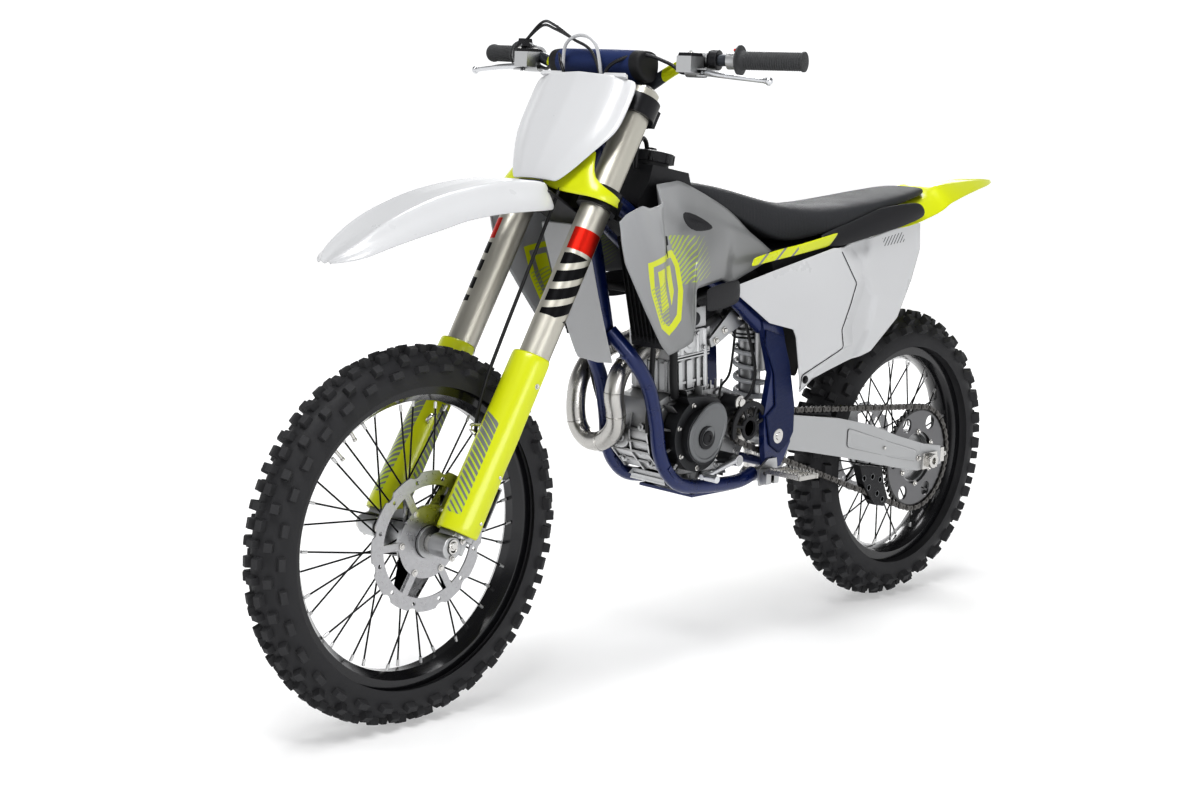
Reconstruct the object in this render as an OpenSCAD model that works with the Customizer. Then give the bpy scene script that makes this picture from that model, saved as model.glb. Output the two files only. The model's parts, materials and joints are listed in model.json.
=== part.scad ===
// Motocross motorcycle. X points forward, Y to the rider's left, Z up.
// The origin is on the ground, midway between the two wheel axles.

/* [Wheels] */
// Distance between the wheel axles
wheelbase = 1485; // [1470:5:1500]
// Outer radius of the front tyre, over its knobs
front_radius = 352; // [350:1:354]
// Outer radius of the rear tyre, over its knobs
rear_radius = 343; // [341:1:345]
// Spokes in each wheel
spoke_count = 36; // [32,36]

/* [Front fork] */
// Rake of the steering axis from upright, in degrees
rake = 28.5; // [28:0.5:29]
// Distance of the front axle ahead of the steering axis
axle_lead = 50; // [48:1:52]
// Distance of the fork tubes ahead of the steering axis
tube_lead = 26; // [25:1:27]
// Distance of each fork tube from the centre plane
leg_y = 100; // [99:1:101]

/* [Drive] */
// Teeth on the rear sprocket
rear_teeth = 48; // [46:1:50]
// Teeth on the drive sprocket
drive_teeth = 13; // [12:1:14]
// Distance of the chain from the centre plane
chain_y = 82; // [81.5:0.1:82.2]

/* [Controls] */
// Distance of each handlebar end from the centre plane
bar_end_y = 413; // [408:1:418]
// Radius of the handlebar at the grips
bar_radius = 11; // [11:0.1:11.2]

/* [Hidden] */

$fn = 48;
gap = 0.3;                    // clearance between neighbouring surfaces
run = 0.05;                   // radial clearance of a running fit
front_axle_x = wheelbase / 2;
rear_axle_x = -wheelbase / 2;
// The steering axis passes through this point, level with the front axle along the fork
head_x = front_axle_x - cos(rake) * axle_lead;
head_z = front_radius - sin(rake) * axle_lead;
// Heights along the steering axis
fork_foot_u = 22;
seal_u = 375;
low_clamp_u = 690;
low_clamp_h = 40;
top_clamp_u = 886;
top_clamp_h = 38;
fork_top_u = 940;
outer_tube_r = 29.5;
inner_tube_r = 24;
front_axle_r = 10;
rear_axle_r = 12;
pivot = [-180, 0, 458];       // swingarm pivot
pivot_r = 9;
drive_shaft = [-95, 0, 482];  // centre of the drive sprocket
chain_pitch = 15.875;
rear_pitch_r = chain_pitch / 2 / sin(180 / rear_teeth);
drive_pitch_r = chain_pitch / 2 / sin(180 / drive_teeth);
shock_top = [-193, 0, 728];
shock_eye = [-232, 0, 352];
rocker_pivot = [-300, 0, 372];
header_r = 20;

// ---------------------------------------------------------------- helpers
// A point given in the steering frame: along the axis, across, and ahead of it
function fork_point(u, y, s) =
  [head_x - sin(rake) * u + cos(rake) * s, y, head_z + cos(rake) * u + sin(rake) * s];

// Places children in the steering frame: local X is ahead, local Z is up the fork
module in_fork() translate([head_x, 0, head_z]) rotate([0, -rake, 0]) children();

module mirrored() {
  children();
  mirror([0, 1, 0]) children();
}

// Room for the down tube behind the steering axis when the steering turns to its stops
module down_tube_room() difference() {
  for (a = [-40 : 8 : 40]) rotate([0, 0, a]) translate([-140, -25.5, 640]) cube([140, 51, 98]);
  translate([0, 0, 630]) cylinder(h = 120, r = 34.2);
}

// Cylinder between two points
module rod(a, b, r, r2 = -1) {
  v = b - a;
  translate(a) rotate([0, acos(v[2] / norm(v)), atan2(v[1], v[0])])
    cylinder(h = norm(v), r1 = r, r2 = r2 < 0 ? r : r2);
}

// Round tube frame along points, with ball joints at the corners
module tubes(points, r) {
  for (i = [0 : len(points) - 2]) rod(points[i], points[i + 1], r);
  for (i = [1 : len(points) - 2]) translate(points[i]) sphere(r = r + 0.3, $fn = 32);
}

// Cylinder along Y between two Y values
module cross_rod(x, z, y0, y1, r) translate([x, y0, z]) rotate([-90, 0, 0]) cylinder(h = y1 - y0, r = r);

// Flat outline of [x, z] points, made solid between two Y values
module plate(outline, y0, y1) translate([0, y1, 0]) rotate([90, 0, 0]) linear_extrude(y1 - y0) polygon(outline);

// Solid of revolution about the Y axis through a wheel centre; the outline is [radius, y]
module wheel_turn(outline) rotate([-90, 0, 0]) rotate_extrude($fn = 96) polygon(outline);

module at_front_axle() translate([front_axle_x, 0, front_radius]) children();
module at_rear_axle() translate([rear_axle_x, 0, rear_radius]) children();

function unit(v) = v / norm(v);
// Smooth curve through points, with k steps in each span
function spline(p, k) = [
  for (i = [0 : len(p) - 2], j = [0 : k - 1])
    let (a = p[max(i - 1, 0)], b = p[i], c = p[i + 1], d = p[min(i + 2, len(p) - 1)], t = j / k)
    0.5 * (2 * b + t * (c - a) + t * t * (2 * a - 5 * b + 4 * c - d)
      + t * t * t * (3 * b - a - 3 * c + d)),
  p[len(p) - 1]
];
function heading(p, i) = unit(p[min(i + 1, len(p) - 1)] - p[max(i - 1, 0)]);

// Solid through a list of rings that all have the same number of points
module loft(rings) {
  n = len(rings);
  m = len(rings[0]);
  polyhedron(
    points = [for (r = rings) each r],
    faces = concat(
      [[for (j = [0 : m - 1]) j], [for (j = [m - 1 : -1 : 0]) (n - 1) * m + j]],
      [for (i = [0 : n - 2], j = [0 : m - 1]) [(i + 1) * m + j, i * m + (j + 1) % m, i * m + j]],
      [for (i = [0 : n - 2], j = [0 : m - 1])
        [(i + 1) * m + j, (i + 1) * m + (j + 1) % m, i * m + (j + 1) % m]]
    ),
    convexity = 8
  );
}

// Round flexible or bent tube along a smooth path
module sweep(path, r, up = [0, 1, 0], sides = 12) {
  loft([
    for (i = [0 : len(path) - 1])
      let (t = heading(path, i), a = unit(cross(up, t)), b = cross(t, a))
      [for (j = [0 : sides - 1]) path[i] + r * (cos(360 * j / sides) * a + sin(360 * j / sides) * b)]
  ]);
}

// Thin panel whose outline points are [x, y, z], fanned from a centre point, t thick towards -Y
module panel(outline, centre, t) {
  n = len(outline);
  back = [for (p = outline) p - [0, t, 0]];
  polyhedron(
    points = concat(outline, [centre], back, [centre - [0, t, 0]]),
    faces = concat(
      [for (i = [0 : n - 1]) [i, (i + 1) % n, n]],
      [for (i = [0 : n - 1]) [n + 1 + (i + 1) % n, n + 1 + i, 2 * n + 1]],
      [for (i = [0 : n - 1]) [(i + 1) % n, i, n + 1 + i]],
      [for (i = [0 : n - 1]) [n + 1 + i, n + 1 + (i + 1) % n, (i + 1) % n]]
    ),
    convexity = 6
  );
}

// ---------------------------------------------------------------- frame
spar_line = [[312, 22, 985], [205, 56, 905], [60, 71, 815], [-60, 80, 748], [-132, 88, 692]];
rail_line = [[256, 20, 700], [225, 55, 648], [186, 66, 590], [163, 70.5, 515], [150, 73, 450],
  [122, 75, 404], [72, 75, 374], [-30, 75, 364], [-100, 76, 364], [-144, 78.7, 377]];
pivot_plate = [[-112, 706], [-170, 716], [-205, 620], [-216, 520], [-228, 440], [-200, 392],
  [-150, 380], [-147, 400], [-139, 450], [-134, 505], [-150, 594], [-125, 660]];

module main_frame() color("midnightblue") {
  difference() {
    union() {
      in_fork() translate([0, 0, low_clamp_u + low_clamp_h + 8])
        cylinder(h = top_clamp_u - low_clamp_u - low_clamp_h - 16, r = 34);
      mirrored() {
        tubes(spar_line, 17);
        plate(pivot_plate, 94, 108);
        rod([-150, 70, 700], [-150, 105, 700], 15);
      }
      // Upper cross tube with the shock mount ears
      cross_rod(-160, 742, -72, 72, 13);
      for (s = [-1, 1]) plate([[-152, 730], [-148, 756], [-200, 744], [-206, 728], [-193, 716]],
        s * 20 - 3, s * 20 + 3);
      rod([-160, 60, 742], [-150, 84, 702], 12);
      rod([-160, -60, 742], [-150, -84, 702], 12);
      // Lower cross tube in front of the swingarm
      cross_rod(-166, 400, -100, 100, 10);
    }
    in_fork() translate([0, 0, low_clamp_u]) cylinder(h = 240, r = 27);
    cross_rod(pivot[0], pivot[2], -120, 120, pivot_r);
    cross_rod(shock_top[0], shock_top[2], -30, 30, 6);
  }
  // Swingarm pivot bolt and shock top bolt
  cross_rod(pivot[0], pivot[2], -108.5, 108.5, pivot_r - run);
  cross_rod(shock_top[0], shock_top[2], -26, 26, 6 - run);
}

module frame_cradle() color("midnightblue") {
  difference() {
    union() {
      rod([326, 0, 962], [256, 0, 694], 24);
      translate([256, 0, 694]) sphere(r = 24.3, $fn = 32);
      mirrored() tubes(rail_line, 15);
      translate([-75, -78, 346]) cube([120, 156, 6]);
    }
    in_fork() translate([0, 0, low_clamp_u]) cylinder(h = 240, r = 34 + gap);
    mirrored() rod(spar_line[0], spar_line[1], 17.6);
  }
}

// Textured plastic guards over the frame at the rider's boots
module frame_guards() color("midnightblue") mirrored() difference() {
  plate([[-120, 690], [-122, 657], [-156, 594], [-166, 525], [-138, 504], [-155, 440], [-188, 420],
    [-218, 440], [-232, 462], [-230, 520], [-204, 617], [-178, 673]], 108 + gap, 113);
  cross_rod(pivot[0], pivot[2], 90, 120, 11);
}

// Composite subframe with the air box, its filter, the battery and the control unit
airbox_line = [[-178, 792], [-150, 846], [-300, 868], [-480, 900], [-500, 858], [-432, 784],
  [-394, 715], [-268, 715], [-262, 775]];
module subframe() {
  color("dimgray") difference() {
    plate(airbox_line, -82, 82);
    plate([[-186, 800], [-166, 840], [-300, 862], [-474, 893], [-490, 858],
      [-424, 784], [-388, 721], [-274, 721], [-266, 781]], -78, 78);
    // Inlet boot to the throttle body
    translate([-190, 0, 790]) rotate([0, 55, 0]) cylinder(h = 80, r = 26, center = true);
  }
  color("dimgray") mirrored() {
    tubes([[-185, 89, 735], [-330, 92, 770], [-520, 92, 862], [-550, 90, 872]], 7);
    rod([-150, 90, 742], [-183, 90, 735], 7);
  }
  color("seagreen") translate([-318, 0, 812]) rotate([0, -70, 0]) cylinder(h = 80, r1 = 44, r2 = 34);
  color("black") translate([-380, -70, 724]) cube([88, 60, 34]);
  color("gray") translate([-380, 15, 724]) cube([60, 50, 16]);
}

// ---------------------------------------------------------------- engine
module crankcase() color("silver") difference() {
  union() {
    plate([[158, 520], [164, 485], [152, 442], [112, 404], [60, 392], [-70, 392], [-122, 410],
      [-140, 440], [-140, 500], [-118, 545], [-60, 566], [100, 566], [140, 552]], -54, 54);
    // Gearbox output boss and crank bosses under the side covers
    cross_rod(drive_shaft[0], drive_shaft[2], 50, 66, 26);
    cross_rod(50, 480, 50, 57, 66);
    cross_rod(-5, 482, -57, -50, 70);
  }
  cross_rod(drive_shaft[0], drive_shaft[2], 40, 70, 12);
}

module engine_top_end() {
  // Cylinder, head and cam cover, leaning forward
  color("silver") translate([46, 0, 567]) rotate([0, 5, 0]) {
    translate([-60, -57, 74 + gap]) cube([120, 114, 52]);
  }
  color("silver") difference() {
    translate([46, 0, 567]) rotate([0, 5, 0]) translate([-56, -54, -12]) cube([112, 108, 86]);
    translate([-60, -80, 500]) cube([220, 160, 66 + gap]);
  }
  color("dimgray") translate([46, 0, 567]) rotate([0, 5, 0])
    translate([-54, -52, 127]) cube([108, 104, 42]);
  // Throttle body and its inlet boot
  color("black") rod([-18, 0, 672], [-78, 0, 700], 27);
  color("silver") rod([-79, 0, 700.5], [-122, 0, 722], 30);
  color("black") rod([-123, 0, 722.5], [-132, 0, 728], 27);
  // Spark plug cap
  color("black") rod([58, 0, 738], [66, 0, 775], 13);
}

module engine_covers() {
  // Ignition cover on the left with its raised insert
  color("black") difference() {
    union() {
      cross_rod(50, 480, 58, 92, 76);
      plate([[96, 562], [30, 560], [-4, 551], [-28, 522], [-24, 470], [40, 480]], 58, 92);
    }
    cross_rod(drive_shaft[0], drive_shaft[2], 50, 100, 48);
  }
  color("gray") cross_rod(50, 478, 92 + gap, 108, 56);
  // Clutch cover and water pump on the right
  color("dimgray") cross_rod(-8, 482, -92, -58, 80);
  color("gray") cross_rod(-8, 482, -116, -92 - gap, 62);
  color("silver") cross_rod(76, 450, -86, -57 - gap, 22);
  // Clutch slave cylinder behind the drive sprocket
  color("silver") cross_rod(-66, 538, 58, 96, 16);
  // Magnetic drain plug and gear shaft housing
  color("silver") cross_rod(-56, 418, 55, 96, 13);
}

// ---------------------------------------------------------------- cooling and fuel
module radiators() {
  mirrored() {
    color("black") translate([225, 0, 785]) rotate([0, 14.7, 0]) {
      translate([-16, 44, -92]) cube([30, 96, 184]);
      translate([-19, 42, 92 + gap]) cube([36, 100, 18]);
      translate([-19, 42, -112]) cube([36, 100, 20 - gap]);
      // Louvred guard in front of the core
      for (i = [0 : 8]) translate([15, 46 + 10.8 * i, -100]) rotate([0, 0, 25]) cube([9, 2, 200]);
    }
  }
  // Hoses from the radiators to the engine and to each other
  color("black") sweep(spline([[195, -92.5, 662], [188, -92.5, 630], [165, -92.5, 560],
    [125, -92.5, 484], [96, -97, 452]], 4), 9);
  color("black") rod([222, -41.5, 785], [222, 41.5, 785], 9);
}

tank_line = [[236, 915], [232, 962], [206, 998], [198, 1028], [92, 1011], [82, 985], [66, 972],
  [20, 944], [-100, 892], [-148, 868], [-150, 852], [-120, 806], [-30, 806], [60, 850], [170, 872]];
cap_centre = [144, 0, 1021];
cap_tilt = 9.1;
module fuel_tank() color("dimgray") difference() {
  union() {
    plate(tank_line, -62, 62);
    translate(cap_centre) rotate([0, -cap_tilt, 0]) translate([0, 0, -6]) cylinder(h = 14, r = 40);
  }
  mirrored() tubes(spar_line, 20);
  translate(cap_centre) rotate([0, -cap_tilt, 0]) translate([0, 0, -20]) cylinder(h = 40, r = 30);
}
module fuel_cap() color("black") translate(cap_centre) rotate([0, -cap_tilt, 0]) {
  translate([0, 0, -10]) cylinder(h = 18 + gap, r = 30 - run);
  translate([0, 0, 8 + gap]) cylinder(h = 20, r = 47);
  for (a = [0 : 45 : 315]) rotate([0, 0, a]) translate([46, 0, 8.5]) cylinder(h = 19, r = 4, $fn = 16);
}

// ---------------------------------------------------------------- bodywork
shroud_line = [[345, 172, 958], [300, 150, 952], [232, 124, 955], [218, 106, 992], [160, 100, 995],
  [106, 92, 992], [-36, 99, 938], [-188, 118, 838], [2, 124, 790], [40, 134, 802], [152, 150, 792],
  [168, 155, 780], [176, 160, 693], [238, 166, 668], [385, 178, 854], [410, 178, 930]];
module shrouds() color("silver") mirrored() panel(shroud_line, [205, 160, 870], 4);

seat_sections = [
  // x, half width, top z, bottom z
  [60, 40, 987, 976], [20, 47, 990, 960], [-43, 56, 981, 930], [-118, 66, 966, 896], [-208, 84, 948, 860],
  [-304, 92, 940, 874], [-434, 94, 944, 905], [-603, 84, 961, 938], [-700, 68, 972, 954],
  [-745, 52, 975, 960], [-768, 36, 968, 960]
];
function seat_ring(s) = [
  [s[0], -s[1], s[3]], [s[0], -s[1], s[2] - 0.35 * (s[2] - s[3])], [s[0], -0.82 * s[1], s[2] - 0.1 * (s[2] - s[3])],
  [s[0], -0.4 * s[1], s[2]], [s[0], 0.4 * s[1], s[2]], [s[0], 0.82 * s[1], s[2] - 0.1 * (s[2] - s[3])],
  [s[0], s[1], s[2] - 0.35 * (s[2] - s[3])], [s[0], s[1], s[3]]
];
module seat() color("dimgray") loft([for (s = seat_sections) seat_ring(s)]);

left_panel_line = [[2, 122, 788], [-309, 118, 855], [-368, 118, 854], [-458, 118, 867], [-551, 116, 885],
  [-670, 112, 898], [-673, 114, 836], [-606, 122, 697], [-495, 124, 616], [-225, 122, 549],
  [-200, 122, 671], [-186, 122, 687], [-108, 122, 704], [2, 122, 775]];
right_panel_line = [[2, 122, 788], [-309, 118, 855], [-368, 118, 854], [-458, 118, 867], [-551, 116, 885],
  [-670, 112, 898], [-673, 114, 836], [-640, 122, 812], [-330, 124, 735], [-225, 122, 728],
  [-108, 122, 728], [2, 122, 775]];
module side_panels() color("white") {
  panel(left_panel_line, [-330, 124, 745], 6);
  mirror([0, 1, 0]) panel(right_panel_line, [-330, 124, 800], 6);
}

rear_sections = [
  // x, half width, centre z, edge z
  [-560, 100, 898, 884], [-640, 102, 932, 892], [-700, 100, 943, 906], [-765, 98, 953, 926],
  [-790, 95, 974, 938], [-860, 82, 979, 952], [-960, 56, 982, 966], [-1040, 32, 983, 974],
  [-1094.5, 8, 983, 980]
];
function rear_ring(s, t) = [
  [s[0], -s[1], s[3]], [s[0], -0.62 * s[1], s[2] - 0.12 * (s[2] - s[3])], [s[0], 0, s[2]],
  [s[0], 0.62 * s[1], s[2] - 0.12 * (s[2] - s[3])], [s[0], s[1], s[3]], [s[0], s[1], s[3] - t],
  [s[0], 0.62 * s[1], s[2] - 0.12 * (s[2] - s[3]) - t], [s[0], 0, s[2] - t],
  [s[0], -0.62 * s[1], s[2] - 0.12 * (s[2] - s[3]) - t], [s[0], -s[1], s[3] - t]
];
module rear_fender() color("yellow") loft([for (s = rear_sections) rear_ring(s, 4)]);

// ---------------------------------------------------------------- exhaust
header_path = [[117, 0, 655], [150, 0, 645], [200, 0, 612], [214, 0, 568], [200, -2, 530],
  [195, -10, 496], [193, -42, 463], [195, -82, 458], [198, -112, 484], [200, -120, 530],
  [186, -124, 582], [140, -132, 622], [60, -134, 646], [-40, -134, 668], [-120, -134, 692],
  [-200, -134, 694], [-258, -131, 672], [-302, -122, 656],
  [-325, -118.5, 656.5], [-342, -118, 660.9]];
module exhaust_header() color("tan") sweep(spline(header_path, 4), header_r, up = [0.3, 0.2, -1], sides = 14);

silencer_front = [-344, -118, 661];
silencer_rear = [-640, -124, 748];
module silencer() {
  color("silver") difference() {
    rod(silencer_front + [-1, 0, 0.3], silencer_rear, 46);
    rod(silencer_rear + [80, 0, -23.5], silencer_rear + [-40, 0, 11.8], 17);
  }
}

// ---------------------------------------------------------------- brackets, pegs and foot levers
module brackets() {
  // Head stays from the spars to the cylinder head
  color("silver") mirrored() plate([[-2, 655], [6, 672], [-58, 728], [-96, 722], [-108, 700], [-60, 682],
    [-20, 660]], 60, 66);
  // Footpeg hangers
  color("silver") mirrored() plate([[-126, 356], [-120, 392], [-150, 412], [-178, 412], [-184, 380],
    [-172, 360]], 108 + gap, 114);
  color("silver") mirrored() difference() {
    translate([-166, 114 + gap, 362]) cube([42, 18, 30]);
    translate([-150, 118, 350]) cube([10, 30, 60]);
    translate([-180, 126, 386]) rotate([0, 90, 0]) cylinder(h = 70, r = 4);
  }
  // Rear brake master cylinder on the right
  color("black") rod([-196, -122, 470], [-176, -122, 530], 8);
}

// Toothed folding footpeg; the pin runs fore and aft
peg_pin = [-145, 126, 386];
module footpeg() {
  difference() {
    union() {
      translate(peg_pin + [-4.5, 0, 0]) rotate([0, 90, 0]) cylinder(h = 9, r = 7.5);
      translate(peg_pin + [-4.5, 0, 2]) cube([9, 14, 8]);
      // Open platform made of two long teeth rows and cross bars
      translate(peg_pin + [-29, 12, 2]) cube([58, 5, 9]);
      translate(peg_pin + [-29, 12, 2]) cube([5, 92, 10]);
      translate(peg_pin + [24, 12, 2]) cube([5, 84, 10]);
      translate(peg_pin + [-29, 97, 2]) cube([58, 5, 10]);
      for (y = [38, 66]) translate(peg_pin + [-29, y, 2]) cube([58, 4, 9]);
    }
    translate(peg_pin + [-10, 0, 0]) rotate([0, 90, 0]) cylinder(h = 20, r = 4);
  }
  // Hinge pin
  translate(peg_pin + [-20, 0, 0]) rotate([0, 90, 0]) cylinder(h = 38, r = 4 - run);
}
module footpeg_left() color("silver") footpeg();
module footpeg_right() color("silver") mirror([0, 1, 0]) footpeg();

shift_axis = [-56, 0, 418];
module shift_lever() color("silver") {
  difference() {
    union() {
      cross_rod(shift_axis[0], shift_axis[2], 97, 112, 12);
      tubes([[-52, 106, 419], [40, 118, 404], [72, 120, 400]], 6);
    }
    cross_rod(shift_axis[0], shift_axis[2], 90, 120, 7);
  }
  cross_rod(66, 401, 126 + gap, 158, 7.5);
  cross_rod(shift_axis[0], shift_axis[2], 97, 113, 7 - run);
}

pedal_axis = [-150, 0, 424];
module brake_pedal() color("silver") {
  difference() {
    union() {
      cross_rod(pedal_axis[0], pedal_axis[2], -131, -114 - gap, 12);
      tubes([[-145, -122, 426], [-104, -122, 422], [-50, -122, 396], [30, -124, 392], [74, -126, 408]], 6);
      translate([66, -150, 410]) cube([30, 44, 7]);
    }
    cross_rod(pedal_axis[0], pedal_axis[2], -140, -100, 6);
  }
  cross_rod(pedal_axis[0], pedal_axis[2], -133, -114.3, 6 - run);
}

// ---------------------------------------------------------------- drive
// Sprocket blank with round-bottomed teeth
module sprocket(teeth, pitch_r, y, t, bore) translate([0, y - t / 2, 0]) rotate([-90, 0, 0]) difference() {
  cylinder(h = t, r = pitch_r + 3.4, $fn = 96);
  for (i = [0 : teeth - 1]) rotate([0, 0, 360 * i / teeth]) translate([pitch_r, 0, -1])
    cylinder(h = t + 2, r = 5.3, $fn = 16);
  translate([0, 0, -1]) cylinder(h = t + 2, r = bore);
}
module drive_sprocket() color("gray") translate(drive_shaft) {
  sprocket(drive_teeth, drive_pitch_r, chain_y, 5.8, 12);
  cross_rod(0, 0, 44, 90, 12 - run);
}
module rear_sprocket() color("dimgray") at_rear_axle() difference() {
  sprocket(rear_teeth, rear_pitch_r, chain_y, 5.8, 62);
  for (i = [0 : 5]) rotate([0, 60 * i, 0]) translate([92, 90, 0]) rotate([90, 0, 0]) cylinder(h = 12, r = 17);
}

// Chain: two side plate rows joined outside the teeth, wrapped round both sprockets
module chain_outline(grow) {
  f = [drive_shaft[0], drive_shaft[2]];
  r = [rear_axle_x, rear_radius];
  slope = atan2(r[1] - f[1], r[0] - f[0]);
  span = norm(r - f);
  tilt = asin((rear_pitch_r - drive_pitch_r) / span);
  a = drive_pitch_r + grow;
  b = rear_pitch_r + grow;
  polygon(concat(
    [for (k = [0 : 12]) let (q = slope + 90 - -tilt + (180 - 2 * tilt) * k / 12)
      f + a * [cos(q), sin(q)]],
    [for (k = [0 : 24]) let (q = slope - 90 - tilt + (180 + 2 * tilt) * k / 24)
      r + b * [cos(q), sin(q)]]
  ));
}
module chain_band(inner, outer, y0, y1) translate([0, y1, 0]) rotate([90, 0, 0]) linear_extrude(y1 - y0)
  difference() {
    chain_outline(outer);
    chain_outline(inner);
  }
module chain() color("gray") {
  chain_band(-6, 6.5, chain_y + 3.6, chain_y + 7);
  chain_band(-6, 6.5, chain_y - 7, chain_y - 3.6);
  chain_band(4.4, 6.5, chain_y - 3.7, chain_y + 3.7);
}

// ---------------------------------------------------------------- swingarm and rear suspension
arm_line = [[-160, 436], [-156, 480], [-190, 498], [-250, 494], [-390, 476], [-500, 452], [-612, 414],
  [-720, 384], [-790, 372], [-796, 328], [-700, 322], [-600, 342], [-500, 366], [-400, 388],
  [-300, 408], [-210, 424]];
module swingarm() color("silver") difference() {
  union() {
    mirrored() {
      // Arms narrow towards the wheel so that they clear the chain
      intersection() {
        plate(arm_line, 62, 122);
        translate([0, 0, 300]) linear_extrude(220) polygon([[-140, 64], [-140, 90], [-236, 90],
          [-262, 98], [-400, 116], [-560, 120], [-800, 118], [-800, 101], [-640, 99], [-560, 96],
          [-440, 94], [-395, 78], [-230, 64]]);
      }
      cross_rod(pivot[0], pivot[2], 44, 90, 24);
    }
    // Bridge between the arms, behind the shock
    plate([[-296, 412], [-296, 440], [-318, 480], [-372, 474], [-372, 396]], -86, 86);
    // Ears for the rocker
    for (s = [-1, 1]) plate([[-288, 420], [-286, 366], [-300, 356], [-314, 366], [-330, 410]],
      s * 24 - 3, s * 24 + 3);
  }
  cross_rod(pivot[0], pivot[2], -95, 95, pivot_r);
  // Axle slots
  mirrored() {
    for (x = [-16, 16]) cross_rod(rear_axle_x + x, rear_radius, 90, 130, rear_axle_r + 0.5);
    translate([rear_axle_x - 16, 90, rear_radius - rear_axle_r - 0.5]) cube([32, 40, 2 * rear_axle_r + 1]);
  }
  cross_rod(rocker_pivot[0], rocker_pivot[2], -40, 40, 5);
  // Seams where the axle carriers join the arms
  translate([-706, -130, 300]) cube([0.2, 260, 120]);
}

module rear_axle() {
  color("silver") difference() {
    union() {
      cross_rod(rear_axle_x, rear_radius, -131, 131, rear_axle_r - 0.02);
      cross_rod(rear_axle_x, rear_radius, 122 + gap, 136, 17);
      cross_rod(rear_axle_x, rear_radius, -136, -122 - gap, 17);
    }
    cross_rod(rear_axle_x, rear_radius, -140, 140, 7.5);
  }
  // Wheel spacers between hub and arms
  color("gray") for (y = [[64.3, 100], [-100, -64.3]]) difference() {
    cross_rod(rear_axle_x, rear_radius, y[0], y[1], 18);
    cross_rod(rear_axle_x, rear_radius, y[0] - 1, y[1] + 1, rear_axle_r);
  }
}

module chain_guides() color("black") {
  // Slider over the front of the left arm
  plate([[-160, 500.5], [-190, 500.5], [-262, 495.6], [-395, 485], [-395, 476.5], [-262, 493.2],
    [-190, 498.6], [-160, 492]], 70, 88);
  // Guide block under the arm, open for the lower chain run
  difference() {
    plate([[-508, 352], [-532, 300], [-575, 252], [-612, 244], [-626, 262], [-606, 300], [-596, 338]],
      72, 93);
    translate([-740, chain_y - 7.8, 202]) rotate([0, -19.8, 0]) cube([330, 15.6, 26]);
  }
}

module rear_caliper() color("silver") difference() {
  union() {
    plate([[-640, 372], [-600, 420], [-640, 446], [-700, 440], [-706, 400]], -96, -62);
    plate([[-700, 372], [-650, 392], [-700, 412], [-722, 372]], -98, -82);
  }
  cross_rod(rear_axle_x, rear_radius, -78.5, -71.5, 112);
  cross_rod(rear_axle_x, rear_radius, -100, -60, 26);
}

shock_dir = unit(shock_eye - shock_top);
function along_shock(d) = shock_top + shock_dir * d;
module shock_body() color("silver") {
  difference() {
    union() {
      cross_rod(shock_top[0], shock_top[2], -16, 16, 14);
      rod(along_shock(8), along_shock(24), 15);
      rod(along_shock(22), along_shock(40), 20);
      rod(along_shock(39), along_shock(196), 24);
      rod(along_shock(52), along_shock(66), 36);
    }
    cross_rod(shock_top[0], shock_top[2], -20, 20, 6);
    rod(along_shock(60), along_shock(210), 9);
  }
  // Piggyback reservoir on the left of the head
  rod(along_shock(40) + [14, 53, 6], along_shock(140) + [14, 53, 6], 20);
  rod(along_shock(56) + [0, 22, 0], along_shock(62) + [12, 50, 6], 8);
}
spring_turns = 7;
spring_path = [for (i = [0 : spring_turns * 12])
  let (a = 30 * i, d = 72 + 214 * i / (spring_turns * 12), side = unit(cross(shock_dir, [0, 1, 0])))
  along_shock(d) + 31 * (cos(a) * side + sin(a) * [0, 1, 0])];
module shock_spring() color("white") sweep(spring_path, 5, up = shock_dir, sides = 8);
module shock_rod() color("silver") {
  rod(along_shock(152), along_shock(320), 9 - run);
  difference() {
    rod(along_shock(292), along_shock(306), 37);
    rod(along_shock(290), along_shock(310), 9 + 0.2);
  }
  difference() {
    union() {
      rod(along_shock(319), along_shock(362), 15);
      cross_rod(shock_eye[0], shock_eye[2], -14, 14, 16);
    }
    cross_rod(shock_eye[0], shock_eye[2], -20, 20, 5);
  }
}
// Rocker between the swingarm and the shock eye
module shock_rocker() color("gray") {
  difference() {
    union() {
      cross_rod(rocker_pivot[0], rocker_pivot[2], -20.5, 20.5, 13);
      for (s = [-1, 1]) plate([[-300, 359.5], [-300, 384.5], [-232, 366], [-218, 352], [-232, 338], [-296, 326],
        [-310, 340]], s * 18 - 2.5, s * 18 + 2.5);
    }
    cross_rod(rocker_pivot[0], rocker_pivot[2], -30, 30, 5);
    cross_rod(shock_eye[0], shock_eye[2], -30, 30, 4);
  }
  cross_rod(rocker_pivot[0], rocker_pivot[2], -30, 30, 5 - run);
}

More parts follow.
